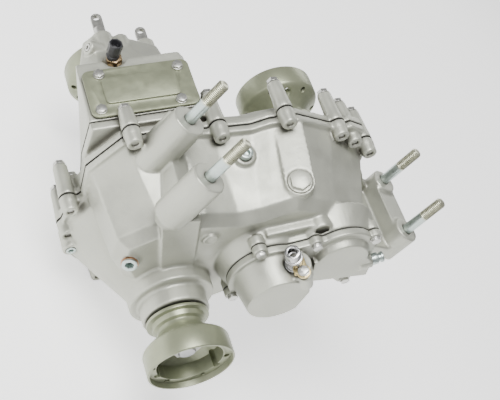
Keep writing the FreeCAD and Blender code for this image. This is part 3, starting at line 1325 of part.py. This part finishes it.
studs = []
for x in STUD_X:
    for y in STUD_Y:
        tag = f"stud_{len(studs)}"
        seat = size("stud_seat")
        studs.append(fuse(tag, [
            cylinder(tag + "_root", "dims.stud_radius - 0.3", 28, (x, y, seat - 28), ALONG_Z),
            cylinder(tag + "_shank", "dims.stud_radius", size("stud_tip") - 2 - seat, (x, y, seat), ALONG_Z),
            cone(tag + "_tip", size("stud_radius"), size("stud_radius") - 1.5, 2,
                 (x, y, size("stud_tip") - 2), ALONG_Z),
        ]))
node("mounting_studs", group("mounting_stud_group", studs))

node("filler_plug", fuse("filler_plug_solid", [
    cylinder("filler_plug_thread", 11, 14, Vector(*FILLER_AT) - FILLER_NORMAL * 16, FILLER_NORMAL),
    cylinder("filler_plug_flange", 13.5, 1.5, Vector(*FILLER_AT) - FILLER_NORMAL * 2, FILLER_NORMAL),
    hexagon("filler_plug_head", 12, 5, Vector(*FILLER_AT) - FILLER_NORMAL * 0.5, FILLER_NORMAL),
]))
node("breather", cut("breather_cut", cylinder("breather_body", 8, 18, Vector(*VENT_AT) - VENT_NORMAL * 8,
                                              VENT_NORMAL), [
    cylinder("breather_socket", 4.5, 8, Vector(*VENT_AT) + VENT_NORMAL * 4, VENT_NORMAL)]))
level_washer = cylinder("level_washer", 9.6, 1.4, LEVEL_FACE, LEVEL_AXIS)
node("level_plug_washer", cut("level_washer_cut", level_washer, [
    cylinder("level_washer_hole", 7, 4, LEVEL_FACE - LEVEL_AXIS, LEVEL_AXIS)]))
node("level_plug", cut("level_plug_cut", fuse("level_plug_solid", [
    cylinder("level_plug_thread", 7, 14, LEVEL_FACE - LEVEL_AXIS * 12.6, LEVEL_AXIS),
    cylinder("level_plug_head", 8.8, 2.4, LEVEL_FACE + LEVEL_AXIS * 1.4, LEVEL_AXIS),
]), [hexagon("level_plug_socket", 5.4, 9, LEVEL_FACE - LEVEL_AXIS * 4, LEVEL_AXIS)]))
node("drain_plug", cut("drain_plug_cut", cylinder("drain_plug_body", 6, 14, (SPLIT + 17, *DRAIN_PORT)), [
    hexagon("drain_plug_socket", 3.6, 8, (SPLIT + 25, *DRAIN_PORT))]))
node("pressure_valve", fuse("pressure_valve_solid", [
    cylinder("valve_stem", 5, 12, Vector(*VALVE_AT) + VALVE_AXIS * 8, VALVE_AXIS),
    cylinder("valve_body", 7, 8, Vector(*VALVE_AT) + VALVE_AXIS * 16, VALVE_AXIS),
    cylinder("valve_neck", 5, 4, Vector(*VALVE_AT) + VALVE_AXIS * 24, VALVE_AXIS),
    cylinder("valve_cap", 6.5, 3, Vector(*VALVE_AT) + VALVE_AXIS * 28, VALVE_AXIS),
]))
switch_face = SWITCH_AT + SWITCH_NORMAL * 20
connector_start = switch_face + SWITCH_NORMAL * 9
node("lock_switch", fuse("lock_switch_solid", [
    cylinder("switch_plunger", 2.5, 8, switch_face - SWITCH_NORMAL * 6.8, SWITCH_NORMAL),
    cylinder("switch_thread", 6, 6, switch_face - SWITCH_NORMAL * 6, SWITCH_NORMAL),
    hexagon("switch_hex", 9.8, 9, switch_face, SWITCH_NORMAL),
]))
node("lock_switch_connector", cut("switch_connector_cut", fuse("switch_connector_solid", [
    cylinder("connector_base", 7.6, 9, connector_start, SWITCH_NORMAL),
    cylinder("connector_shroud", 7, 16, connector_start + SWITCH_NORMAL * 9, SWITCH_NORMAL),
]), [cylinder("connector_mouth", 5.4, 12, connector_start + SWITCH_NORMAL * 17, SWITCH_NORMAL)]))


# ---------------------------------------------------------------- checks and export

doc.recompute()
failed = [item.Name for item in doc.Objects if "Invalid" in item.State or "Error" in item.State]
if failed:
    raise RuntimeError(f"these objects did not compute: {failed}")
for label, item in nodes.items():
    if item.Shape.isNull() or not item.Shape.isValid():
        raise RuntimeError(f"{label} has no valid shape")

os.makedirs("parts", exist_ok=True)
for label, item in nodes.items():
    item.Shape.exportStep(f"parts/{label}.step")
print(len(nodes), "sub-parts written")
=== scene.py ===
"""Looks of a two-speed transfer gearbox: cast casings, plated flanges, threaded studs, a pale studio."""

import json
import math

import bmesh
import bpy
from mathutils import Matrix, Vector


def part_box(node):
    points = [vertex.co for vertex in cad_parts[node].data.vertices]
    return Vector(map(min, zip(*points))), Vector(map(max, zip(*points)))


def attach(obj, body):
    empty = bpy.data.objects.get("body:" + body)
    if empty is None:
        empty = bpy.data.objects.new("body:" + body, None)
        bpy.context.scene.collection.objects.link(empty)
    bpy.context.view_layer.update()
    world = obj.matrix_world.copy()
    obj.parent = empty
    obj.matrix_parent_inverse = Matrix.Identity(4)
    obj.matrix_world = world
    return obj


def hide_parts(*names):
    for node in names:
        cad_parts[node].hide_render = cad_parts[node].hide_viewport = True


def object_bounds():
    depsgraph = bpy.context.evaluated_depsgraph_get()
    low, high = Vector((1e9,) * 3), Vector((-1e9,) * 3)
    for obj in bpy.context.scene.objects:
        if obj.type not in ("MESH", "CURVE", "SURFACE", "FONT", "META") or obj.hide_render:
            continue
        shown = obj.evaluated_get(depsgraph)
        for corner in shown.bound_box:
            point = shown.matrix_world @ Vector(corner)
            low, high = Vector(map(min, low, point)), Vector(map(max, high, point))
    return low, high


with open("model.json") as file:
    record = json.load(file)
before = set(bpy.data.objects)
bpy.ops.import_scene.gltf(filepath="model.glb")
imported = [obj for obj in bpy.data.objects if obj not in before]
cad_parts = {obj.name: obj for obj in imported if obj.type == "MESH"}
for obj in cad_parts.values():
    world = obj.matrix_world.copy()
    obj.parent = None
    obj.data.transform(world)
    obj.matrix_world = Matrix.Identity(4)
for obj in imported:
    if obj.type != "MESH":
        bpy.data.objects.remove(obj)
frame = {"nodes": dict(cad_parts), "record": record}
cad_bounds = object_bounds()

RECORD = frame["record"]
NODES = frame["nodes"]
BODY_OF = {node: body for body, nodes in RECORD["behaviour"]["bodies"].items() for node in nodes}
SLOT_OF = {part["node"]: part["material_slot"] for part in RECORD["subparts"]}
MM = 0.001
AXIS_Z = Vector((0, 0, 1))


# ---------------------------------------------------------------- materials

def add(tree, kind, inputs=None, **settings):
    """A new shader node; inputs holds sockets to link or values to set."""
    made = tree.nodes.new(kind)
    for key, value in settings.items():
        setattr(made, key, value)
    for key, value in (inputs or {}).items():
        if isinstance(value, bpy.types.NodeSocket):
            tree.links.new(value, made.inputs[key])
        else:
            made.inputs[key].default_value = value
    return made


def new_material(name, **sockets):
    """A material with one Principled shader whose constant sockets are given by name."""
    material = bpy.data.materials.new(name)
    material.use_nodes = True
    tree = material.node_tree
    tree.nodes.clear()
    output = tree.nodes.new("ShaderNodeOutputMaterial")
    shader = tree.nodes.new("ShaderNodeBsdfPrincipled")
    tree.links.new(shader.outputs["BSDF"], output.inputs["Surface"])
    for key, value in sockets.items():
        shader.inputs[key.replace("_", " ").title()].default_value = value
    return material, tree, shader


def place(tree):
    return add(tree, "ShaderNodeTexCoord").outputs["Object"]


def noise(tree, size, detail=2.0, roughness=0.5):
    """Noise whose features are about size metres."""
    made = add(tree, "ShaderNodeTexNoise", {
        "Vector": place(tree), "Scale": 1 / size, "Detail": detail, "Roughness": roughness})
    return made.outputs["Fac"]


def remap(tree, value, low, high, to_low=0.0, to_high=1.0):
    made = add(tree, "ShaderNodeMapRange", {
        "Value": value, "From Min": low, "From Max": high, "To Min": to_low, "To Max": to_high})
    return made.outputs["Result"]


def multiply(tree, a, b):
    return add(tree, "ShaderNodeMath", {0: a, 1: b}, operation="MULTIPLY").outputs[0]


def blend_colour(tree, factor, a, b):
    """a where factor is 0, b where it is 1; each is a colour or a colour socket."""
    made = tree.nodes.new("ShaderNodeMix")
    made.data_type = "RGBA"
    for index, value in ((0, factor), (6, a), (7, b)):
        if isinstance(value, bpy.types.NodeSocket):
            tree.links.new(value, made.inputs[index])
        else:
            made.inputs[index].default_value = value if index == 0 else (*value, 1)
    return made.outputs[2]


def shade(colour, by):
    return tuple(min(1.0, part * by) for part in colour)


def bump(tree, height, distance, under=None):
    inputs = {"Height": height, "Distance": distance, "Strength": 1.0}
    if under:
        inputs["Normal"] = under
    return add(tree, "ShaderNodeBump", inputs).outputs["Normal"]


def recess(tree, reach):
    """1 in corners and crevices, 0 on open faces; the mask where shade is painted in."""
    open_sky = add(tree, "ShaderNodeAmbientOcclusion", {"Distance": reach}, samples=8).outputs["AO"]
    return remap(tree, open_sky, 0.82, 0.34)


def edge(tree):
    """1 on raised edges, 0 elsewhere."""
    pointed = add(tree, "ShaderNodeNewGeometry").outputs["Pointiness"]
    return remap(tree, pointed, 0.515, 0.56)


# A dark warm brown for corners and crevices, standing partly for soiling and partly for painted shade.
DIRT_AND_SHADE = (0.075, 0.066, 0.052)
WAVE_SIZE = 0.014


def metal(name, colour, roughness, metallic=1.0, patches=0.10, patch_size=0.03, grain=0.0001,
          grain_size=0.0012, grime_and_shade=0.6, reach=0.010, wear=0.35, waves=0.0):
    """A worn metal surface: patches of tone, a fine grain, bare edges, and soiling with painted shade in
    the corners.
    """
    material, tree, shader = new_material(name, metallic=metallic)
    patchy = noise(tree, patch_size, 5.0, 0.6)
    tone = blend_colour(tree, remap(tree, patchy, 0.35, 0.65), shade(colour, 1 - patches),
                        shade(colour, 1 + patches))
    speckle = remap(tree, noise(tree, patch_size / 6, 6.0, 0.7), 0.60, 0.72, 0.0, 0.35)
    tone = blend_colour(tree, speckle, tone, shade(colour, 0.72))
    bare = multiply(tree, edge(tree), wear)
    tone = blend_colour(tree, bare, tone, shade(colour, 1.25))
    # Soiling and painted shade: the dark brown is laid into corners and crevices, patchy in strength.
    dirt_and_shade = multiply(tree, recess(tree, reach), remap(tree, patchy, 0.25, 0.75, grime_and_shade * 0.55, grime_and_shade))
    tone = blend_colour(tree, dirt_and_shade, tone, DIRT_AND_SHADE)
    tree.links.new(tone, shader.inputs["Base Color"])
    rough = remap(tree, noise(tree, patch_size / 2, 4.0), 0.3, 0.7, roughness - 0.07, roughness + 0.09)
    tree.links.new(rough, shader.inputs["Roughness"])
    normal = bump(tree, noise(tree, grain_size, 3.0), grain)
    if waves:
        normal = bump(tree, noise(tree, WAVE_SIZE, 2.0), waves, under=normal)
    tree.links.new(normal, shader.inputs["Normal"])
    return material


def turned_metal(name, colour, roughness, centre, metallic=0.7):
    """A plated turned part with lathe marks about an axis along X through centre."""
    material, tree, shader = new_material(name, metallic=metallic)
    local = add(tree, "ShaderNodeVectorMath", {0: place(tree), 1: centre}, operation="SUBTRACT").outputs[0]
    split = add(tree, "ShaderNodeSeparateXYZ", {0: local})
    radius = add(tree, "ShaderNodeMath", {0: split.outputs["Y"], 1: split.outputs["Y"]},
                 operation="MULTIPLY").outputs[0]
    squares = add(tree, "ShaderNodeMath", {0: split.outputs["Z"], 1: split.outputs["Z"], 2: radius},
                  operation="MULTIPLY_ADD").outputs[0]
    radius = add(tree, "ShaderNodeMath", {0: squares}, operation="SQRT").outputs[0]
    along = add(tree, "ShaderNodeMath", {0: radius, 1: split.outputs["X"]}, operation="ADD").outputs[0]
    rings = add(tree, "ShaderNodeTexNoise", {"W": along, "Scale": 2600.0, "Detail": 2.0},
                noise_dimensions="1D").outputs["Fac"]
    broad = noise(tree, 0.02, 4.0, 0.6)
    tone = blend_colour(tree, remap(tree, broad, 0.3, 0.7), shade(colour, 0.90), shade(colour, 1.08))
    tone = blend_colour(tree, multiply(tree, edge(tree), 0.4), tone, shade(colour, 1.35))
    # Painted shade with some soiling: the dark brown is laid into the recesses.
    tone = blend_colour(tree, multiply(tree, recess(tree, 0.006), 0.6), tone, DIRT_AND_SHADE)
    tree.links.new(tone, shader.inputs["Base Color"])
    rough = remap(tree, rings, 0.3, 0.7, roughness - 0.06, roughness + 0.08)
    tree.links.new(rough, shader.inputs["Roughness"])
    tree.links.new(bump(tree, rings, 0.00002), shader.inputs["Normal"])
    return material


def stud_metal(thread_start):
    """Bluish zinc on the shank, changing to yellowish zinc on the thread above thread_start."""
    material, tree, shader = new_material("stud_zinc", metallic=0.9)
    height = add(tree, "ShaderNodeSeparateXYZ", {0: place(tree)}).outputs["Z"]
    blotch = noise(tree, 0.006, 4.0, 0.6)
    threaded = remap(tree, height, thread_start - 0.002, thread_start + 0.001)
    shank = blend_colour(tree, blotch, (0.36, 0.43, 0.42), (0.60, 0.67, 0.63))
    thread = blend_colour(tree, blotch, (0.44, 0.44, 0.32), (0.70, 0.70, 0.55))
    tone = blend_colour(tree, threaded, shank, thread)
    # Painted shade with some soiling: the dark brown is laid into the thread hollows.
    tone = blend_colour(tree, multiply(tree, recess(tree, 0.002), 0.5), tone, DIRT_AND_SHADE)
    tree.links.new(tone, shader.inputs["Base Color"])
    tree.links.new(remap(tree, blotch, 0.3, 0.7, 0.24, 0.42), shader.inputs["Roughness"])
    tree.links.new(bump(tree, noise(tree, 0.0006), 0.00002), shader.inputs["Normal"])
    return material


def soft_solid(name, colour, roughness, grain_size=0.0005, grain=0.00004):
    """Moulded plastic or rubber."""
    material, tree, shader = new_material(name, metallic=0.0)
    tone = blend_colour(tree, noise(tree, 0.004, 3.0), shade(colour, 0.8), shade(colour, 1.25))
    # Painted shade: a darker copy of the colour is laid into corners and crevices.
    tone = blend_colour(tree, multiply(tree, recess(tree, 0.003), 0.4), tone, shade(colour, 0.4))
    tree.links.new(tone, shader.inputs["Base Color"])
    rough = remap(tree, noise(tree, 0.002, 3.0), 0.3, 0.7, roughness - 0.08, roughness + 0.08)
    tree.links.new(rough, shader.inputs["Roughness"])
    tree.links.new(bump(tree, noise(tree, grain_size), grain), shader.inputs["Normal"])
    return material


def centre_of(node):
    low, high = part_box(node)
    return (low + high) / 2


KHAKI = (0.255, 0.272, 0.185)
STUD_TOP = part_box("mounting_studs")[1].z
THREAD_LENGTH = 0.030
THREAD_PITCH = 2.0 * MM

MATERIALS = {
    "casting": metal("cast_aluminium", (0.43, 0.437, 0.375), 0.44, metallic=0.60, patches=0.07,
                     patch_size=0.045, grain=0.00014, grime_and_shade=1.0, reach=0.013, waves=0.0004, wear=0.5),
    "khaki": metal("khaki_zinc", KHAKI, 0.40, metallic=0.55, patch_size=0.02),
    "bolt": metal("bolt_zinc", (0.50, 0.50, 0.47), 0.33, metallic=0.9, patch_size=0.006, reach=0.004),
    "stud": stud_metal(STUD_TOP - THREAD_LENGTH),
    "steel": metal("ground_steel", (0.50, 0.50, 0.50), 0.25, patch_size=0.01, grime_and_shade=0.3),
    "gear_steel": metal("gear_steel", (0.36, 0.36, 0.37), 0.32, patch_size=0.01, grime_and_shade=0.3),
    "iron": metal("cast_iron", (0.16, 0.16, 0.165), 0.5, metallic=0.8, patch_size=0.01, grain=0.0002),
    "rod": metal("rod_steel", (0.46, 0.46, 0.43), 0.36, metallic=0.85, patch_size=0.008, grime_and_shade=0.5),
    "gasket": soft_solid("gasket_sheet", (0.035, 0.033, 0.030), 0.75),
    "rubber": soft_solid("seal_rubber", (0.025, 0.025, 0.026), 0.55),
    "brass": metal("brass", (0.47, 0.34, 0.20), 0.30, patch_size=0.005, reach=0.004),
    "copper": metal("copper", (0.52, 0.27, 0.16), 0.35, patch_size=0.004, reach=0.004),
    "black": soft_solid("black_plastic", (0.022, 0.022, 0.024), 0.42),
    "nylon": soft_solid("nylon", (0.62, 0.60, 0.52), 0.45),
    "yellow_zinc": metal("yellow_zinc", (0.50, 0.40, 0.19), 0.30, metallic=0.9, patch_size=0.006,
                         reach=0.004),
}
FLANGES = ("rear_output_flange", "front_output_flange", "input_flange")
LATHE = {node: turned_metal(node + "_plating", KHAKI, 0.36, centre_of(node), 0.6) for node in FLANGES}


STEEL_LOOK = ("speedo_adaptor",)


def material_for(node):
    if node in STEEL_LOOK:
        return MATERIALS["steel"]
    return LATHE.get(node) or MATERIALS[SLOT_OF[node]]


def paint(piece, material):
    piece.data.materials.clear()
    piece.data.materials.append(material)
    piece.data.polygons.foreach_set("material_index", [0] * len(piece.data.polygons))


# ---------------------------------------------------------------- shaping helpers

def new_piece(name, mesh):
    piece = bpy.data.objects.new(name, mesh)
    bpy.context.scene.collection.objects.link(piece)
    return piece


def welded_copy(node, name):
    """The CAD node's mesh as a new piece, with its doubled vertices joined."""
    mesh = bpy.data.meshes.new(name)
    shape = bmesh.new()
    shape.from_mesh(NODES[node].data)
    bmesh.ops.remove_doubles(shape, verts=shape.verts, dist=2e-6)
    shape.to_mesh(mesh)
    shape.free()
    return new_piece(name, mesh)


def bake_modifiers(piece):
    """Turns a piece's modifiers into plain mesh."""
    graph = bpy.context.evaluated_depsgraph_get()
    mesh = bpy.data.meshes.new_from_object(piece.evaluated_get(graph))
    old = piece.data
    piece.modifiers.clear()
    piece.data = mesh
    bpy.data.meshes.remove(old)


def smooth_shading(piece, angle=None):
    piece.data.polygons.foreach_set("use_smooth", [True] * len(piece.data.polygons))
    if angle is not None:
        piece.data.set_sharp_from_angle(angle=math.radians(angle))


def stand_for(piece, node):
    """The piece takes the node's place, body and material."""
    paint(piece, material_for(node))
    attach(piece, BODY_OF[node])
    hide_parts(node)


BORES = [  # a point on each bore's axis, and the radius to keep true
    (centre_of("lock_rod"), 9.0 * MM),
    (centre_of("range_rod"), 9.0 * MM),
]


def cast_copy(node, voxel, rounds, keep_faces):
    """A casting with the soft edges and small fillets that come from a sand mould."""
    piece = welded_copy(node, node + "_cast")
    remesh = piece.modifiers.new("voxels", "REMESH")
    remesh.mode = "VOXEL"
    remesh.voxel_size = voxel
    bake_modifiers(piece)
    free = [point.index for point in piece.data.vertices
            if all(math.hypot(point.co.y - centre.y, point.co.z - centre.z) > reach
                   for centre, reach in BORES)]
    group = piece.vertex_groups.new(name="cast_skin")
    group.add(free, 1.0, "REPLACE")
    smooth = piece.modifiers.new("fillets", "SMOOTH")
    smooth.factor = 0.5
    smooth.iterations = rounds
    smooth.vertex_group = group.name
    thin = piece.modifiers.new("thin", "DECIMATE")
    thin.ratio = min(1.0, keep_faces / (2 * len(piece.data.polygons)))
    bake_modifiers(piece)
    piece.vertex_groups.clear()
    smooth_shading(piece)
    stand_for(piece, node)
    return piece


def bevelled_copy(node, width):
    """A machined piece whose edges are broken by a small chamfer."""
    piece = welded_copy(node, node + "_finished")
    flat = piece.modifiers.new("flat", "DECIMATE")
    flat.decimate_type = "DISSOLVE"
    flat.angle_limit = math.radians(1.0)
    bevel = piece.modifiers.new("edges", "BEVEL")
    bevel.width = width
    bevel.segments = 2
    bevel.limit_method = "ANGLE"
    bevel.angle_limit = math.radians(38)
    bevel.use_clamp_overlap = True
    bake_modifiers(piece)
    smooth_shading(piece, 34)
    stand_for(piece, node)
    return piece


# ---------------------------------------------------------------- casings

CASTINGS = {  # node: voxel size, rounds of smoothing, faces kept
    "rear_case": (1.5 * MM, 7, 190000),
    "front_case": (1.5 * MM, 6, 120000),
    "front_drive_housing": (1.4 * MM, 6, 120000),
    "rear_cover": (1.0 * MM, 7, 90000),
}
for casting, (voxel, rounds, faces) in CASTINGS.items():
    cast_copy(casting, voxel, rounds, faces)

CHAMFERS = {
    "shift_cover": 0.8, "case_bolts": 0.5, "front_housing_bolts": 0.5, "rear_cover_bolts": 0.4,
    "shift_cover_bolts": 0.4, "filler_plug": 0.5, "breather": 0.3, "level_plug": 0.3,
    "drain_plug": 0.3, "pressure_valve": 0.3, "detent_plugs": 0.3, "speedo_adaptor": 0.35,
    "speedo_clamp_plate": 0.4, "speedo_clamp_bolt": 0.35, "lock_switch": 0.4, "rear_output_flange": 0.7,
    "front_output_flange": 0.7, "input_flange": 0.7, "lock_rod": 0.6, "range_rod": 0.6,
}
for finished, width in CHAMFERS.items():
    bevelled_copy(finished, width * MM)


# ---------------------------------------------------------------- studs

def threaded_stud(shape, foot, radius, top, thread_length, pitch):
    """A stud standing on foot: a plain shank, then a helical thread with a rounded tip."""
    sides = 40
    depth = 0.55 * pitch
    step = pitch / 10
    count = int((top - foot.z) / step)
    rings = []
    for k in range(count + 1):
        z = min(top, foot.z + k * step)
        ring = []
        for j in range(sides):
            turn = 2 * math.pi * j / sides
            phase = ((z - foot.z) / pitch - j / sides) % 1.0
            tooth = 1 - abs(2 * phase - 1)
            into = max(0.0, min(1.0, (z - (top - thread_length)) / pitch))
            tip = max(0.0, (z - (top - 1.6 * MM)) / (1.6 * MM))
            reach = radius - depth * into * max(0.0, min(1.0, 1.5 * tooth - 0.25)) - 1.4 * MM * tip
            x = foot.x + reach * math.cos(turn)
            y = foot.y + reach * math.sin(turn)
            ring.append(shape.verts.new((x, y, z)))
        rings.append(ring)
    for low, high in zip(rings, rings[1:]):
        for j in range(sides):
            shape.faces.new((low[j], low[(j + 1) % sides], high[(j + 1) % sides], high[j]))
    shape.faces.new(list(reversed(rings[0])))
    shape.faces.new(rings[-1])


def stud_places():
    """The axis of each stud, from the mount that the studs make."""
    mount = next(m for m in RECORD["mounts"] if m["name"] == "mounting_stud_pattern")
    middle = Vector(mount["pos_m"])
    half_x = mount["dims"]["spacing_x_mm"] * MM / 2
    half_y = mount["dims"]["spacing_y_mm"] * MM / 2
    places = [middle + Vector((sx * half_x, sy * half_y, 0)) for sx in (-1, 1) for sy in (-1, 1)]
    return places, mount["dims"]["stud_r_mm"] * MM


STUD_ROOT = 6.0 * MM  # how far this piece goes below the seat; the CAD stud goes deeper
stud_shape = bmesh.new()
places, stud_radius = stud_places()
for foot in places:
    threaded_stud(stud_shape, foot - AXIS_Z * STUD_ROOT, stud_radius, STUD_TOP, THREAD_LENGTH, THREAD_PITCH)
stud_mesh = bpy.data.meshes.new("mounting_studs_threaded")
stud_shape.to_mesh(stud_mesh)
stud_shape.free()
studs = new_piece("mounting_studs_threaded", stud_mesh)
smooth_shading(studs, 50)
stand_for(studs, "mounting_studs")


# ---------------------------------------------------------------- lock switch connector

SWITCH_AXIS = Vector((0, -0.40, 0.917)).normalized()  # leans 23.6 degrees; the CAD switch leans 33.7


def octagon(radius, height):
    return [Vector((radius * math.cos(math.pi / 8 + k * math.pi / 4),
                    radius * math.sin(math.pi / 8 + k * math.pi / 4), height)) for k in range(8)]


def stack(shape, outlines, turn):
    """Joins outlines of equal length into a closed skin."""
    rows = [[shape.verts.new(turn @ point) for point in outline] for outline in outlines]
    size = len(rows[0])
    for low, high in zip(rows, rows[1:]):
        for j in range(size):
            shape.faces.new((low[j], low[(j + 1) % size], high[(j + 1) % size], high[j]))
    shape.faces.new(list(reversed(rows[0])))
    shape.faces.new(rows[-1])


def connector():
    """An eight-sided moulded socket with a collar, a latch ridge and two blades in its mouth."""
    cad_length = 25.0 * MM
    base = centre_of("lock_switch_connector") - SWITCH_AXIS * cad_length / 2
    turn = Matrix.Translation(base) @ AXIS_Z.rotation_difference(SWITCH_AXIS).to_matrix().to_4x4()
    shape = bmesh.new()
    skin = [(6.2, 0), (7.8, 0.6), (7.8, 4.0), (6.8, 4.6), (6.8, 7.0), (8.2, 7.6), (8.2, 21.4), (7.8, 22.0),
            (6.4, 22.0), (6.2, 21.6), (6.2, 12.0)]
    stack(shape, [octagon(radius * MM, height * MM) for radius, height in skin], turn)
    for side in (-1, 1):
        blade = [Vector((x * MM, (side * 2.6 + y) * MM, 11.5 * MM)) for x, y in
                 ((-1.6, -0.4), (1.6, -0.4), (1.6, 0.4), (-1.6, 0.4))]
        stack(shape, [blade, [point + AXIS_Z * 7.5 * MM for point in blade]], turn)
    ridge = [Vector((x * MM, y * MM, 13.0 * MM)) for x, y in
             ((-2.4, 7.2), (2.4, 7.2), (1.8, 8.7), (-1.8, 8.7))]
    stack(shape, [ridge, [point + AXIS_Z * 6.0 * MM for point in ridge]], turn)
    mesh = bpy.data.meshes.new("lock_switch_socket")
    shape.to_mesh(mesh)
    shape.free()
    piece = new_piece("lock_switch_socket", mesh)
    bevel = piece.modifiers.new("edges", "BEVEL")
    bevel.width = 0.25 * MM
    bevel.segments = 2
    bake_modifiers(piece)
    smooth_shading(piece, 30)
    stand_for(piece, "lock_switch_connector")


connector()


# ---------------------------------------------------------------- carried-over nodes

for node, cad in NODES.items():
    cad.data.materials.clear()
    cad.data.materials.append(material_for(node))


# ---------------------------------------------------------------- studio

def area_light(name, direction, distance, side, power):
    lamp = bpy.data.lights.new(name, "AREA")
    lamp.shape = "DISK"
    lamp.size = side
    lamp.energy = power
    holder = bpy.data.objects.new(name, lamp)
    towards = Vector(direction).normalized()
    holder.location = MIDDLE + towards * distance
    holder.rotation_euler = towards.to_track_quat("Z", "Y").to_euler()
    bpy.context.scene.collection.objects.link(holder)


low, high = cad_bounds
MIDDLE = (Vector(low) + Vector(high)) / 2

floor_mesh = bpy.data.meshes.new("floor")
FLOOR_REACH = 6.0
floor_corners = [(x * FLOOR_REACH, y * FLOOR_REACH, 0) for x, y in ((-1, -1), (1, -1), (1, 1), (-1, 1))]
floor_mesh.from_pydata(floor_corners, [], [(0, 1, 2, 3)])
floor = new_piece("floor", floor_mesh)
floor.location = (0, 0, low[2])
floor_paint, floor_tree, floor_shader = new_material(
    "pale_floor", roughness=0.9, emission_color=(1, 1, 1, 1), emission_strength=1.3)
floor_tone = blend_colour(floor_tree, noise(floor_tree, 0.4), (0.86, 0.86, 0.85), (0.90, 0.90, 0.89))
floor_tree.links.new(floor_tone, floor_shader.inputs["Base Color"])
floor.data.materials.append(floor_paint)

world = bpy.data.worlds.new("studio")
bpy.context.scene.world = world
world.use_nodes = True
world.node_tree.nodes["Background"].inputs["Color"].default_value = (1, 1, 1, 1)
world.node_tree.nodes["Background"].inputs["Strength"].default_value = 0.30

area_light("key", (0.10, -0.50, 0.86), 2.0, 1.3, 74)
area_light("fill", (0.2, -1.0, 0.10), 2.2, 1.0, 8)
area_light("back", (-0.6, 0.7, 0.5), 2.2, 1.0, 8)

LENS = 74.45
CAMERA_AIM = MIDDLE + Vector((0.0297, 0.0381, 0.0202))
CAMERA_DISTANCE = 1.265
CAMERA_AZIMUTH = -52.48
CAMERA_ELEVATION = 31.13
CAMERA_ROLL = 48.13
camera_data = bpy.data.cameras.new("camera")
camera_data.lens = LENS
camera_data.sensor_width = 36
camera_data.clip_end = 30
camera = bpy.data.objects.new("camera", camera_data)
bpy.context.scene.collection.objects.link(camera)
swing = Matrix.Rotation(math.radians(CAMERA_AZIMUTH + 90), 4, "Z")
tilt = Matrix.Rotation(math.radians(90 - CAMERA_ELEVATION), 4, "X")
roll = Matrix.Rotation(math.radians(CAMERA_ROLL), 4, "Z")
back_off = Matrix.Translation((0, 0, CAMERA_DISTANCE))
camera.matrix_world = Matrix.Translation(CAMERA_AIM) @ swing @ tilt @ back_off @ roll
bpy.context.scene.camera = camera
